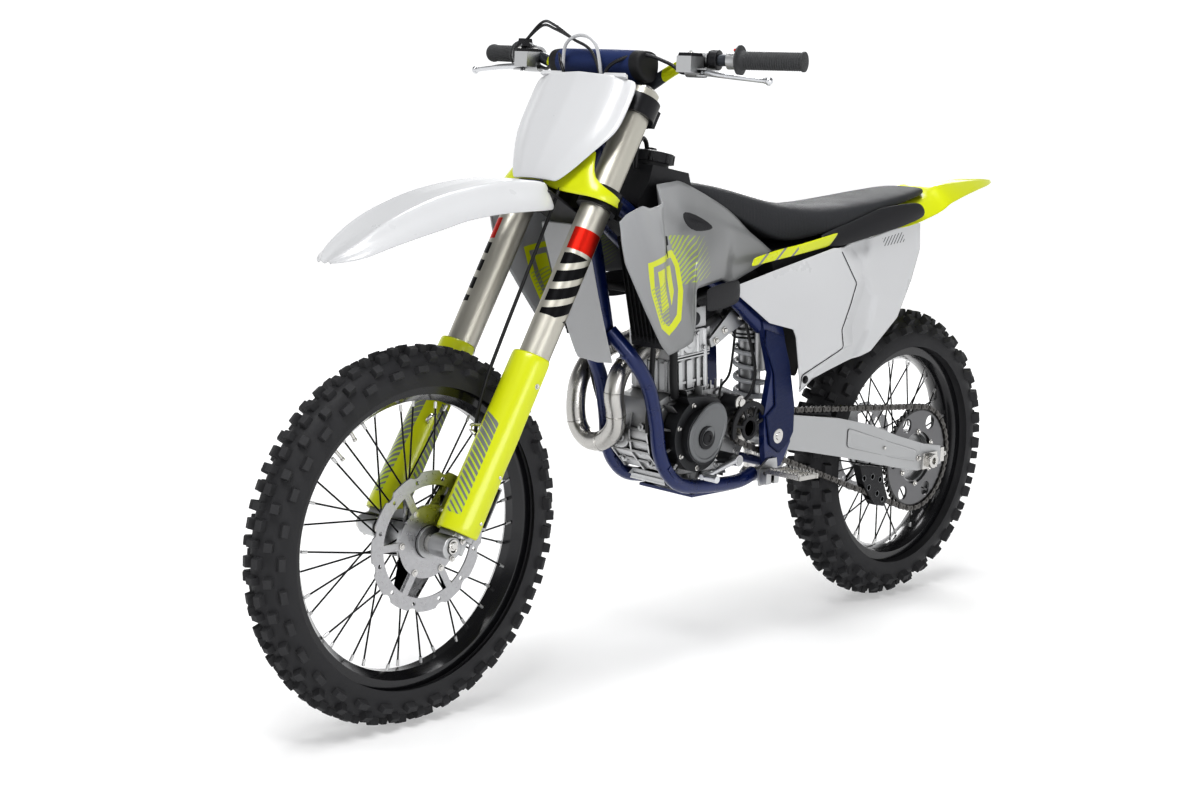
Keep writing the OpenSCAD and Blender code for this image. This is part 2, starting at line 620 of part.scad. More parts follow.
// ---------------------------------------------------------------- steering
module clamp_body(u, h, ahead) difference() {
  union() {
    for (s = [-1, 1]) translate([tube_lead, s * leg_y, u]) cylinder(h = h, r = outer_tube_r + 9);
    translate([-20, -leg_y, u]) cube([44, 2 * leg_y, h]);
    translate([0, 0, u]) cylinder(h = h, r = 33);
    // Pinch bolt lugs at the back of each tube
    for (s = [-1, 1]) translate([-22, s * leg_y - 14, u + 2]) cube([22, 28, h - 4]);
  }
  for (s = [-1, 1]) translate([tube_lead, s * leg_y, u - 1]) cylinder(h = h + 2, r = outer_tube_r + 0.05);
  translate([0, 0, u - 1]) cylinder(h = h + 2, r = 17 + ahead);
}
module triple_clamps() in_fork() {
  color("black") difference() {
    clamp_body(low_clamp_u, low_clamp_h, run);
    down_tube_room();
  }
  color("black") clamp_body(top_clamp_u, top_clamp_h, run);
  // Steering stem and its nut
  color("silver") translate([0, 0, low_clamp_u - 4]) cylinder(h = 240, r = 17);
  color("silver") translate([0, 0, top_clamp_u + top_clamp_h + 0.5]) difference() {
    cylinder(h = 10, r = 24, $fn = 6);
    translate([0, 0, -1]) cylinder(h = 12, r = 17 + run);
  }
  // Head bearings
  color("gray") for (u = [low_clamp_u + low_clamp_h + 9, top_clamp_u - 22]) translate([0, 0, u]) difference() {
    cylinder(h = 13, r = 27 - run);
    translate([0, 0, -1]) cylinder(h = 15, r = 17 + run);
  }
  // Handlebar risers and caps
  color("black") for (s = [-1, 1]) translate([2, s * 50 - 12, 0]) {
    translate([0, 0, top_clamp_u + top_clamp_h + gap]) difference() {
      translate([-14, 0, 0]) cube([40, 24, 50]);
      translate([6, -1, 34]) rotate([-90, 0, 0]) cylinder(h = 26, r = 14 + run);
    }
  }
}

module fork_outer_tubes() in_fork() for (s = [-1, 1]) translate([tube_lead, s * leg_y, 0]) {
  color("tan") difference() {
    translate([0, 0, seal_u]) cylinder(h = fork_top_u - seal_u, r = outer_tube_r);
    translate([0, 0, seal_u - 1]) cylinder(h = fork_top_u - seal_u - 24, r = inner_tube_r + run);
  }
  // Damper rod and piston fixed to the cap, inside the inner tube
  color("silver") translate([0, 0, 420]) cylinder(h = fork_top_u - 24 - 420 - 1, r = 7);
  color("silver") translate([0, 0, 400]) cylinder(h = 19.8, r = 20);
  // Cap with the adjuster
  color("silver") translate([0, 0, fork_top_u + 0.1]) cylinder(h = 6, r = 20, $fn = 6);
}

bar_centre = fork_point(958, 0, 8);
bar_line = [[bar_centre[0], 0, bar_centre[2]], [bar_centre[0], 66, bar_centre[2]],
  [bar_centre[0] + 2, 92, bar_centre[2] + 6], [bar_centre[0] + 8, 165, bar_centre[2] + 40],
  [bar_centre[0] + 2, 215, bar_centre[2] + 54], [234, 262, 1231], [191, bar_end_y, 1233]];
grip_dir = unit(bar_line[6] - bar_line[5]);
function on_bar(y) = bar_line[5] + grip_dir * ((y - bar_line[5][1]) / grip_dir[1]);
// One smooth bent tube, thicker in the middle
bar_half = [bar_line[0] + [0, 62, 0], bar_line[1], bar_line[2], bar_line[3], bar_line[4], bar_line[5],
  on_bar(281), bar_line[6]];
bar_path = spline(concat([for (i = [7 : -1 : 0]) [bar_half[i][0], -bar_half[i][1], bar_half[i][2]]],
  [bar_line[0]], bar_half), 4);
function bar_r(y) = y < 75 ? 13.9 : y > 170 ? bar_radius : 13.9 - (13.9 - bar_radius) * (y - 75) / 95;
module handlebar() color("dimgray") loft([
  for (i = [0 : len(bar_path) - 1])
    let (t = heading(bar_path, i), a = unit(cross([0, 0, 1], t)), b = cross(t, a),
      r = bar_r(abs(bar_path[i][1])))
    [for (j = [0 : 15]) bar_path[i] + r * (cos(22.5 * j) * a + sin(22.5 * j) * b)]
]);

pad_line = [[268, 1200], [280, 1182], [304, 1192], [322, 1214], [316, 1236], [302, 1245], [264, 1243],
  [254, 1226]];
module bar_pad() color("midnightblue") difference() {
  plate(pad_line, -120, 120);
  mirrored() tubes([for (i = [0 : 5]) bar_line[i]], 14.6);
}

module grip(inner_y, tube_r) {
  difference() {
    union() {
      rod(on_bar(inner_y), on_bar(bar_end_y) + grip_dir * 3, 16.5);
      rod(on_bar(inner_y), on_bar(inner_y + 4), 29);
    }
    rod(on_bar(inner_y) - grip_dir * 2, on_bar(bar_end_y) + grip_dir * 0.2, tube_r);
  }
}
module grip_left() color("dimgray") grip(290, bar_radius + 0.02);
module throttle_grip() color("dimgray") mirror([0, 1, 0]) grip(290, bar_radius + run);

// Hydraulic master cylinder with its reservoir and perch on the bar
lever_pivot = [268, 246, 1207];
module master() {
  difference() {
    union() {
      translate([262, 200, 1206]) cube([36, 36, 30]);
      rod([262, 198, 1207], [262, 240, 1207], 10);
      rod(on_bar(225) - grip_dir * 7, on_bar(225) + grip_dir * 9, bar_radius + 6);
      // Clevis for the lever
      translate([254, 236, 1199.5]) cube([26, 22, 3]);
      translate([254, 236, 1211.5]) cube([26, 22, 3]);
    }
    rod(on_bar(190), on_bar(262), bar_radius + 0.05);
    rod(bar_line[3], bar_line[4], bar_radius + 2.2);
    rod(bar_line[4], bar_line[5], bar_radius + 2.2);
    translate(bar_line[4]) sphere(r = bar_radius + 2.6);
    translate(bar_line[5]) sphere(r = bar_radius + 2.2);
    translate([lever_pivot[0], lever_pivot[1], 1190]) cylinder(h = 40, r = 3);
    // Room for the lever's eye
    translate([250, 236.5, 1202.5]) cube([36, 36, 9]);
  }
  translate([lever_pivot[0], lever_pivot[1], 1198]) cylinder(h = 18, r = 3 - run);
}
module master_cylinders() {
  color("silver") mirrored() master();
  // Throttle housing beside the right grip
  color("black") mirror([0, 1, 0]) difference() {
    rod(on_bar(268), on_bar(288), 25);
    rod(on_bar(258), on_bar(295), bar_radius + 1.7);
    translate(bar_line[5]) sphere(r = bar_radius + 2);
  }
  // Switch housing beside the left grip
  color("black") difference() {
    rod(on_bar(270), on_bar(286), 17);
    rod(on_bar(258), on_bar(295), bar_radius + 1.7);
    translate(bar_line[5]) sphere(r = bar_radius + 2);
    rod([on_bar(278)[0], 278, on_bar(278)[2]], [on_bar(278)[0] - 8, 278, on_bar(278)[2] + 24], 4.2);
  }
}
stop_dir = unit([-8, 0, 24]);
module stop_button() color("red") rod(on_bar(278) + stop_dir * 14.5, on_bar(278) + stop_dir * 22, 4);

module lever() {
  difference() {
    union() {
      translate([lever_pivot[0], lever_pivot[1], 1203]) cylinder(h = 8, r = 9);
      rod([272, 252, 1207], [286, 290, 1204], 4);
      rod([286, 290, 1204], [274, 350, 1199], 4);
      rod([274, 350, 1199], [262, 392, 1196], 4);
      translate([286, 290, 1204]) sphere(r = 4.3, $fn = 24);
      translate([274, 350, 1199]) sphere(r = 4.3, $fn = 24);
      translate([262, 392, 1196]) sphere(r = 8, $fn = 24);
    }
    translate([lever_pivot[0], lever_pivot[1], 1190]) cylinder(h = 40, r = 3);
  }
}
module clutch_lever() color("silver") lever();
module brake_lever() color("silver") mirror([0, 1, 0]) lever();

plate_side = [[126, 930], [135, 922], [136, 905], [135, 835], [123, 803], [110, 780], [86, 740], [60, 703]];
plate_line = concat(plate_side, [for (i = [7 : -1 : 0]) [-plate_side[i][0], plate_side[i][1]]]);
// Seen from above, the plate bends back towards its edges
plate_bend = [[82, -140], [103, -70], [112, 0], [103, 70], [82, 140], [78, 140], [99, 70], [108, 0],
  [99, -70], [78, -140]];
module number_plate() color("white") in_fork() intersection() {
  translate([0, 0, 695]) linear_extrude(240) polygon(plate_bend);
  translate([60, 0, 0]) rotate([90, 0, 90]) linear_extrude(70) polygon(plate_line);
}

fender_sections = [
  // x, half width, crown z, edge z
  [946, 22, 862, 858], [905, 62, 892, 866], [834, 74, 938, 888], [757, 76, 968, 906], [698, 78, 984, 926],
  [600, 80, 1000, 940], [515, 82, 1004, 942], [470, 74, 998, 944]
];
function fender_ring(s, t) = [
  [s[0], -s[1], s[3]], [s[0], -0.66 * s[1], s[2] - 0.3 * (s[2] - s[3])], [s[0], -0.3 * s[1], s[2] - 2],
  [s[0], 0, s[2]], [s[0], 0.3 * s[1], s[2] - 2], [s[0], 0.66 * s[1], s[2] - 0.3 * (s[2] - s[3])],
  [s[0], s[1], s[3]], [s[0], s[1], s[3] - t], [s[0], 0.66 * s[1], s[2] - 0.3 * (s[2] - s[3]) - t],
  [s[0], 0.3 * s[1], s[2] - 2 - t], [s[0], 0, s[2] - t], [s[0], -0.3 * s[1], s[2] - 2 - t],
  [s[0], -0.66 * s[1], s[2] - 0.3 * (s[2] - s[3]) - t], [s[0], -s[1], s[3] - t]
];
module front_fender() color("white") {
  loft([for (s = fender_sections) fender_ring(s, 4)]);
  // Base under the lower clamp and the tongue behind the wheel
  in_fork() difference() {
    translate([-30, -62, low_clamp_u - 12]) cube([100, 124, 5]);
    down_tube_room();
  }
  in_fork() translate([69, -36, low_clamp_u - 12]) cube([47, 72, 5]);
  in_fork() translate([104, -36, low_clamp_u - 12]) cube([14, 72, 17]);
  loft([
    for (q = [[270, 50, 638], [297, 54, 700], [328, 57, 780], [352, 60, 850], [372, 62, 916]])
      [[q[0] - 3, -q[1], q[2]], [q[0] + 1, -q[1], q[2]], [q[0] - 5, 0, q[2]], [q[0] + 1, q[1], q[2]],
        [q[0] - 3, q[1], q[2]], [q[0] - 9, 0, q[2]]]
  ]);
}

// Yellow cover that wraps the fork at the lower clamp
module fork_shroud() color("yellow") in_fork() mirrored() difference() {
  union() {
    translate([tube_lead, leg_y, low_clamp_u + 4]) cylinder(h = 46, r = outer_tube_r + 15);
    translate([tube_lead, 30, low_clamp_u + 4]) cube([44, 74, 88]);
  }
  translate([tube_lead, leg_y, low_clamp_u]) cylinder(h = 100, r = outer_tube_r + 11);
  translate([-40, -10, low_clamp_u]) cube([tube_lead + 44, 170, 100]);
  translate([-40, -10, low_clamp_u]) cube([106, 96, 100]);
}

// ---------------------------------------------------------------- fork sliders and front brake
module fork_legs() color("silver") difference() {
  union() {
    in_fork() mirrored() {
      difference() {
        translate([tube_lead, leg_y, 60]) cylinder(h = 580, r = inner_tube_r);
        translate([tube_lead, leg_y, 110]) cylinder(h = 600, r = 21);
      }
      translate([tube_lead, leg_y, fork_foot_u]) cylinder(h = 74, r = 27.5);
      translate([axle_lead, leg_y - 22, 0]) rotate([-90, 0, 0]) cylinder(h = 44, r = 21);
      translate([tube_lead - 8, leg_y - 20, -4]) cube([40, 40, 44]);
    }
  }
  at_front_axle() cross_rod(0, 0, -140, 140, front_axle_r);
}
module front_axle() color("silver") at_front_axle() difference() {
  union() {
    cross_rod(0, 0, -132, 126, front_axle_r - 0.02);
    cross_rod(0, 0, -134, -122 - gap, 15);
    difference() {
      cross_rod(0, 0, 64.3, 77.5, 17);
      cross_rod(0, 0, 60, 80, front_axle_r);
    }
    difference() {
      cross_rod(0, 0, -77.5, -52.3, 17);
      cross_rod(0, 0, -80, -50, front_axle_r);
    }
  }
  cross_rod(0, 0, -140, 140, 6.5);
}

module fork_guards() color("yellow") in_fork() mirrored() difference() {
  union() {
    translate([tube_lead, leg_y, 30]) cylinder(h = 354, r = 41);
    translate([tube_lead - 14, leg_y + 24, 30]) cube([30, 20, 150]);
  }
  translate([tube_lead, leg_y, 20]) cylinder(h = 380, r = 37.5);
  translate([tube_lead - 60, leg_y - 60, 0]) cube([50, 120, 400]);
  translate([tube_lead - 60, leg_y - 60, 0]) cube([60, 60, 400]);
}

module front_caliper() color("silver") in_fork() difference() {
  union() {
    translate([-52, 38, 62]) cube([44, 40, 84]);
    translate([-12, 66, 64]) cube([13, 20, 60]);
  }
  translate([axle_lead, 51.5, 0]) rotate([-90, 0, 0]) cylinder(h = 8, r = 134);
}

hose_path = [fork_point(846, 60, 92), fork_point(790, 52, 84), fork_point(700, 50, 84), fork_point(560, 52, 80),
  fork_point(400, 50, 76), fork_point(300, 52, 70), fork_point(220, 51, 42), fork_point(168, 56, -12),
  fork_point(150, 58, -30)];
module front_brake_hose() color("black") sweep(spline(hose_path, 4), 3.5, sides = 8);

// ---------------------------------------------------------------- wheels
// Tyre section: [radius, y] outline from bead to bead, hollow
function tyre_section(r, w, rim_r, bead_y) = [
  [rim_r - 11, bead_y], [rim_r + 2, bead_y], [rim_r + 6, bead_y + 4], [r - 52, w / 2 - 2], [r - 36, w / 2],
  [r - 15, w / 2 - 4], [r - 5, w / 2 - 16], [r, w / 4 - 10], [r, 10 - w / 4], [r - 5, 16 - w / 2],
  [r - 15, 4 - w / 2], [r - 36, -w / 2], [r - 52, 2 - w / 2], [rim_r + 6, -bead_y - 4],
  [rim_r + 2, -bead_y], [rim_r - 11, -bead_y], [rim_r - 11, 6 - bead_y], [rim_r + 8, 6 - bead_y],
  [r - 48, 10 - w / 2], [r - 22, 14 - w / 2], [r - 20, 0], [r - 22, w / 2 - 14], [r - 48, w / 2 - 10],
  [rim_r + 8, bead_y - 6], [rim_r - 11, bead_y - 6]
];
function rim_section(rim_r, half) = [
  [rim_r - 12, half - 3.6], [rim_r, half - 3], [rim_r, half], [rim_r - 18, half], [rim_r - 25, half - 10],
  [rim_r - 31, 10], [rim_r - 31, -10], [rim_r - 25, 10 - half], [rim_r - 18, -half], [rim_r, -half],
  [rim_r, 3 - half], [rim_r - 12, 3.6 - half], [rim_r - 18, 9 - half], [rim_r - 25, 8 - half / 2],
  [rim_r - 25, half / 2 - 8], [rim_r - 18, half - 9]
];
front_rim_r = 282;
front_rim_half = 27;
rear_rim_r = 256;
rear_rim_half = 34;

module front_tyre() color("black") at_front_axle()
  wheel_turn(tyre_section(front_radius, 92, front_rim_r, front_rim_half - 3.6));
module front_rim() color("black") at_front_axle() wheel_turn(rim_section(front_rim_r, front_rim_half));
module rear_tyre() color("black") at_rear_axle()
  wheel_turn(tyre_section(rear_radius, 122, rear_rim_r, rear_rim_half - 3.6));
module rear_rim() color("black") at_rear_axle() wheel_turn(rim_section(rear_rim_r, rear_rim_half));

// One spoke with its nipple, from the hub flange to the rim
module spoke(hub_r, hub_a, hub_y, rim_r, rim_a, rim_y) {
  a = [hub_r * cos(hub_a), hub_y, hub_r * sin(hub_a)];
  b = [rim_r * cos(rim_a), rim_y, rim_r * sin(rim_a)];
  d = unit(b - a);
  rod(a, b - d * 1.6, 1.7, $fn = 12);
  rod(b - d * 14, b - d * 2.4, 3, $fn = 12);
}
module spokes(count, hub_r, hub_y, rim_r, cross_angle) {
  pairs = count / 4;
  step = 360 / pairs;
  for (side = [-1, 1], i = [0 : pairs - 1]) {
    base = i * step + (side > 0 ? step / 4 : 0);
    spoke(hub_r, base, side * (hub_y + 6), rim_r, base + cross_angle, side * 10);
    spoke(hub_r, base + 4, side * hub_y, rim_r, base + 4 - cross_angle, side * 5.5);
  }
}
module front_spokes() color("dimgray") at_front_axle() spokes(spoke_count, 42, 31.2, front_rim_r - 31, 32);
module rear_spokes() color("dimgray") at_rear_axle() spokes(spoke_count, 52, 33, rear_rim_r - 31, 32);

module bearing_pair(outer, inner, y0, y1) for (y = [y0, y1 - 12]) difference() {
  cross_rod(0, 0, y, y + 12, outer - 0.02);
  cross_rod(0, 0, y - 1, y + 13, inner + run);
}
module front_hub() color("silver") at_front_axle() {
  difference() {
    union() {
      cross_rod(0, 0, -48, 60, 26);
      cross_rod(0, 0, 26, 29, 44);
      cross_rod(0, 0, -29, -26, 44);
      cross_rod(0, 0, 46, 53.7, 66);
      cross_rod(0, 0, 57.3, 64, 30);
      cross_rod(0, 0, -52, -48, 30);
    }
    cross_rod(0, 0, -60, 70, 21);
    for (i = [0 : 5]) rotate([0, 60 * i + 30, 0]) translate([56, 40, 0]) rotate([-90, 0, 0])
      cylinder(h = 20, r = 11);
  }
  bearing_pair(21, front_axle_r, -52, 64);
}
module rear_hub() color("silver") at_rear_axle() {
  difference() {
    union() {
      cross_rod(0, 0, -64, 64, 30);
      cross_rod(0, 0, 27, 30.5, 54);
      cross_rod(0, 0, -30.5, -27, 54);
      cross_rod(0, 0, 60, chain_y - 3.2, 74);
      cross_rod(0, 0, -71.7, -60, 52);
    }
    cross_rod(0, 0, -80, 90, 23);
    cross_rod(0, 0, 66, 90, 56);
    cross_rod(0, 0, -80, -66, 40);
  }
  bearing_pair(23, rear_axle_r, -64, 64);
}
// Brake disc: wave ring on a spider, with slots through the ring
module disc(outer_r, ring_w, y0, t, bolt_r, hub_r) difference() {
  union() {
    difference() {
      cross_rod(0, 0, y0, y0 + t, outer_r);
      cross_rod(0, 0, y0 - 1, y0 + t + 1, outer_r - ring_w);
    }
    for (i = [0 : 5]) rotate([0, 60 * i, 0]) translate([bolt_r - 8, y0, -7]) cube([outer_r - ring_w - bolt_r + 12, t, 14]);
    difference() {
      cross_rod(0, 0, y0, y0 + t, bolt_r + 6);
      cross_rod(0, 0, y0 - 1, y0 + t + 1, hub_r);
    }
  }
  for (i = [0 : 11]) rotate([0, 30 * i + 15, 0]) {
    translate([outer_r + 10, y0 - 1, 0]) rotate([-90, 0, 0]) cylinder(h = t + 2, r = 16);
    translate([outer_r - ring_w / 2 - 2, y0 - 1, 0]) rotate([-90, 0, 0]) cylinder(h = t + 2, r = 4);
  }
}
module front_disc() color("silver") at_front_axle() disc(130, 26, 54, 3, 62, 31);
module rear_disc() color("silver") at_rear_axle() disc(110, 24, -76, 4, 50, 31);

main_frame();
frame_cradle();
frame_guards();
subframe();
crankcase();
engine_top_end();
engine_covers();
radiators();
shrouds();
fuel_tank();
fuel_cap();
seat();
side_panels();
rear_fender();
exhaust_header();
silencer();
brackets();
footpeg_left();
footpeg_right();
shift_lever();
brake_pedal();
drive_sprocket();
shock_body();
shock_spring();
shock_rod();
shock_rocker();
triple_clamps();
fork_outer_tubes();
handlebar();
bar_pad();
grip_left();
master_cylinders();
number_plate();
front_fender();
fork_shroud();
throttle_grip();
brake_lever();
clutch_lever();
stop_button();
fork_legs();
fork_guards();
front_axle();
front_caliper();
front_brake_hose();
front_tyre();
front_rim();
front_spokes();
front_hub();
front_disc();
rear_tyre();
rear_rim();
rear_spokes();
rear_hub();
rear_disc();
rear_sprocket();
swingarm();
rear_axle();
chain_guides();
rear_caliper();
chain();
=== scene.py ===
import bpy, bmesh, json, random
from math import asin, atan2, copysign, cos, exp, hypot, pi, radians, sin
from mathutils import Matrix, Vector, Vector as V
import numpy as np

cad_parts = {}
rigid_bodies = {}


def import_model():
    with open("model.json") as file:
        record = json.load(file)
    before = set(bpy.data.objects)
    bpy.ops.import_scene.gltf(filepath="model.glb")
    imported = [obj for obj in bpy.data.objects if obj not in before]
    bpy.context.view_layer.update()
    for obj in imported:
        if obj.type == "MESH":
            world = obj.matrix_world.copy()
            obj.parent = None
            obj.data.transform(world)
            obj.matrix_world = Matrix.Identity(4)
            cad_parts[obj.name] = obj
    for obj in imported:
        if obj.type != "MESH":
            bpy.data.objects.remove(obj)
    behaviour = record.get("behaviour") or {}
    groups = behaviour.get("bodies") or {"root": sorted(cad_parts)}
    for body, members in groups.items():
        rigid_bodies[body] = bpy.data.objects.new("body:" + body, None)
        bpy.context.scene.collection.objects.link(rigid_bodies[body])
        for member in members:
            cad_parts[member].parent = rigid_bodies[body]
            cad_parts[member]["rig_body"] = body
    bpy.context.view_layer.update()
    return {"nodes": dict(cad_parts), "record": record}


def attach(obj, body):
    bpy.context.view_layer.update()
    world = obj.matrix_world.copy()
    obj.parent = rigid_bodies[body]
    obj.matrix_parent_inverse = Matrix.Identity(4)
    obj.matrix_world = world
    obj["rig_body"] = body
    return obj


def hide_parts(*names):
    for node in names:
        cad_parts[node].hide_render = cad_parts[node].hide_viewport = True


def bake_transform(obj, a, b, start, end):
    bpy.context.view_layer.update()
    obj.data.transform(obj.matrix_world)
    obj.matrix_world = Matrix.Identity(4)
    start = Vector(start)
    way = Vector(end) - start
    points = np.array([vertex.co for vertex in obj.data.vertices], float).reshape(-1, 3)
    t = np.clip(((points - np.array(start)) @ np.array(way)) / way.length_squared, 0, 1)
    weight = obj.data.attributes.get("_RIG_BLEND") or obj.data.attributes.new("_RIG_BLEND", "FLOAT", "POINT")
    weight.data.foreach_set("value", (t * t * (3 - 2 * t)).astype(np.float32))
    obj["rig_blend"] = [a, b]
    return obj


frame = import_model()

random.seed(11)
sc = bpy.context.scene
AHEAD, LEFT, UP = (1, 0, 0), (0, 1, 0), (0, 0, 1)


# ------------------------------------------------------------ materials
class Mat:
    """Principled material with cloudy colour, roughness change and fine bump."""

    def __init__(s, name, color, rough=0.4, metal=0.0, coat=0.0, bump=0.1, fine=300.0, vary=0.08, cloud=9.0,
            rvar=0.1, stretch=(1, 1, 1), dist=0.001, spec=None):
        s.m = bpy.data.materials.new(name)
        s.m.use_nodes = True
        s.t = s.m.node_tree
        s.p = s.t.nodes["Principled BSDF"]
        s.p.inputs["Metallic"].default_value = metal
        s.p.inputs["Coat Weight"].default_value = coat
        s.p.inputs["Coat Roughness"].default_value = 0.12
        dim = max(color[:3]) < 0.1 and metal < 0.1
        s.p.inputs["Specular IOR Level"].default_value = spec if spec is not None else (0.28 if dim else 0.5)
        s.co = s.t.nodes.new("ShaderNodeTexCoord").outputs["Object"]
        mp = s.t.nodes.new("ShaderNodeMapping")
        mp.inputs["Scale"].default_value = stretch
        s.t.links.new(s.co, mp.inputs["Vector"])
        a = s.noise(mp.outputs[0], cloud, 5.0)
        dark = [c * (1 - vary) for c in color[:3]] + [1]
        light = [min(1, c * (1 + vary)) for c in color[:3]] + [1]
        s.col = s.mix(a, dark, light)
        s.rough = s.fit(a, rough - rvar * 0.5, rough + rvar * 0.5)
        s.height = s.noise(mp.outputs[0], fine, 3.0)
        s.bump, s.dist = bump, dist

    def node(s, kind, **k):
        n = s.t.nodes.new(kind)
        for a, b in k.items():
            setattr(n, a, b)
        return n

    def put(s, sock, v):
        if hasattr(v, "links"):
            s.t.links.new(v, sock)
        else:
            sock.default_value = v

    def noise(s, co, scale, detail=4.0):
        n = s.node("ShaderNodeTexNoise")
        s.put(n.inputs["Vector"], co)
        n.inputs["Scale"].default_value = scale
        n.inputs["Detail"].default_value = detail
        return n.outputs["Fac"]

    def fit(s, v, lo, hi, a=0.3, b=0.7):
        n = s.node("ShaderNodeMapRange")
        s.put(n.inputs["Value"], v)
        for k, x in (("From Min", a), ("From Max", b), ("To Min", lo), ("To Max", hi)):
            n.inputs[k].default_value = x
        return n.outputs[0]

    def mix(s, f, a, b):
        n = s.node("ShaderNodeMix", data_type="RGBA")
        s.put(n.inputs[0], f)
        s.put(n.inputs[6], a)
        s.put(n.inputs[7], b)
        return n.outputs[2]

    def op(s, kind, a, b=0.0):
        n = s.node("ShaderNodeMath", operation=kind)
        s.put(n.inputs[0], a)
        s.put(n.inputs[1], b)
        return n.outputs[0]

    def dot(s, v):
        """The distance along direction v, in metres, the same on both sides of the machine."""
        x = s.node("ShaderNodeSeparateXYZ")
        s.put(x.inputs[0], s.co)
        c = s.node("ShaderNodeCombineXYZ")
        s.put(c.inputs[0], x.outputs[0])
        s.put(c.inputs[1], s.op("ABSOLUTE", x.outputs[1]))
        s.put(c.inputs[2], x.outputs[2])
        n = s.node("ShaderNodeVectorMath", operation="DOT_PRODUCT")
        s.put(n.inputs[0], c.outputs[0])
        n.inputs[1].default_value = v
        return n.outputs["Value"]

    def above(s, v, d):
        """Mask that is 1 beyond distance d, in metres, along direction v."""
        return s.op("GREATER_THAN", s.dot(v), d)

    def both(s, *masks):
        """Mask that is 1 where all the masks are."""
        out = masks[0]
        for k in masks[1:]:
            out = s.op("MULTIPLY", out, k)
        return out

    def no(s, mask):
        return s.op("SUBTRACT", 1.0, mask)

    def poly(s, pts):
        """Mask that is 1 inside a convex outline of (x, z) points in mm."""
        out, n = None, len(pts)
        cx = sum(p[0] for p in pts) / n
        cz = sum(p[1] for p in pts) / n
        for i in range(n):
            (x0, z0), (x1, z1) = pts[i], pts[(i + 1) % n]
            nx, nz = z1 - z0, x0 - x1
            if nx * (cx - x0) + nz * (cz - z0) < 0:
                nx, nz = -nx, -nz
            k = hypot(nx, nz)
            m = s.above((nx / k, 0, nz / k), (nx * x0 + nz * z0) / k / 1000)
            out = m if out is None else s.op("MULTIPLY", out, m)
        return out

    def lines(s, v, pitch, duty):
        """Mask of lines across direction v, pitch in mm; duty is their share."""
        # The added 5 m keeps the counted distance positive
        f = s.op("FRACT", s.op("MULTIPLY", s.op("ADD", s.dot(v), 5.0), 1000.0 / pitch))
        return s.op("LESS_THAN", f, duty)

    def paint(s, mask, color):
        s.col = s.mix(mask, s.col, list(color) + [1])
        return s

    def emboss(s, mask, k):
        """Raises the surface by k where the mask is 1."""
        s.height = s.op("ADD", s.height, s.op("MULTIPLY", mask, k))

    def corner_shade(s, far=0.03, low=0.12):
        """Paints shade into the colour: darkens the corners and crevices, where shade falls."""
        n = s.node("ShaderNodeAmbientOcclusion", samples=4)
        n.inputs["Distance"].default_value = far
        # painted shade: near-black mixed into the base colour where the occlusion node finds geometry close
        # by
        s.col = s.mix(s.fit(n.outputs["AO"], low, 1.0, 0.25, 0.85), [0.01, 0.01, 0.011, 1], s.col)
        return s

    def done(s):
        """Links colour, roughness and bump to the shader and gives the material."""
        s.put(s.p.inputs["Base Color"], s.col)
        s.put(s.p.inputs["Roughness"], s.rough)
        b = s.node("ShaderNodeBump")
        b.inputs["Strength"].default_value = s.bump
        b.inputs["Distance"].default_value = s.dist
        s.put(b.inputs["Height"], s.height)
        s.put(s.p.inputs["Normal"], b.outputs[0])
        return s.m


YEL, WHT, BLK = (0.56, 0.61, 0.005), (0.53, 0.535, 0.545), (0.010, 0.010, 0.011)
GREY, DGREY = (0.19, 0.193, 0.194), (0.05, 0.053, 0.058)
# Steering frame: ax runs up the steering axis, an ahead of it; the two axles and the frame's foot are in mm
RAKE = radians(28.5)
ax = V((-sin(RAKE), 0, cos(RAKE)))
an = V((cos(RAKE), 0, sin(RAKE)))
FA, RA = V((742.5, 0, 352)), V((-742.5, 0, 343))
P0 = FA - an * 50
FORK_Y, FORK_S = 100, 26  # the middle of a fork tube in the steering frame


def fp(u, y, s):
    """Point of the steering frame: u up the axis, y left, s ahead, in mm."""
    return P0 + ax * u + an * s + V((0, y, 0))


tyre_m = Mat("tyre", (0.026, 0.026, 0.028), 0.62, bump=0.35, fine=420, vary=0.25, cloud=14,
    rvar=0.16).done()
knob_m = Mat("knob", (0.034, 0.034, 0.036), 0.66, bump=0.4, fine=500, vary=0.3, cloud=30, rvar=0.15).done()
rim_m = Mat("rim", (0.010, 0.010, 0.012), 0.22, metal=0.4, coat=0.5, bump=0.04, fine=500).done()
alu = Mat("aluminium", (0.66, 0.67, 0.69), 0.30, metal=1.0, bump=0.12, fine=700,
    rvar=0.14).corner_shade(0.02, 0.35).done()
satin = Mat("satin", (0.48, 0.485, 0.49), 0.34, metal=0.95, bump=0.14, fine=900, vary=0.1, cloud=20,
    rvar=0.14).corner_shade().done()
cast = Mat("cast", (0.60, 0.605, 0.61), 0.40, metal=0.92, bump=0.4, fine=1100, vary=0.12, cloud=24,
    rvar=0.18).corner_shade().done()
arm_m = Mat("arm", (0.44, 0.445, 0.45), 0.40, metal=0.9, bump=0.25, fine=900, vary=0.06,
    cloud=6).corner_shade(0.02, 0.35).done()
dark = Mat("dark_cast", (0.030, 0.031, 0.034), 0.40, metal=0.4, bump=0.4, fine=1000, vary=0.15,
    cloud=18).corner_shade().done()
gun = Mat("gunmetal", (0.17, 0.175, 0.18), 0.38, metal=0.7, bump=0.3, fine=1000, vary=0.12,
    cloud=18).corner_shade().done()
steel = Mat("steel", (0.50, 0.49, 0.47), 0.27, metal=1.0, bump=0.1, fine=600, stretch=(1, 4, 1)).done()
bolt_m = Mat("bolt", (0.62, 0.61, 0.59), 0.25, metal=1.0, bump=0.1, fine=900).done()
blackp = Mat("black_plastic", (0.018, 0.018, 0.020), 0.5, bump=0.5, fine=1300, vary=0.2).done()
blackm = Mat("black_metal", (0.014, 0.014, 0.016), 0.34, metal=0.5, bump=0.2, fine=1100, vary=0.2).done()
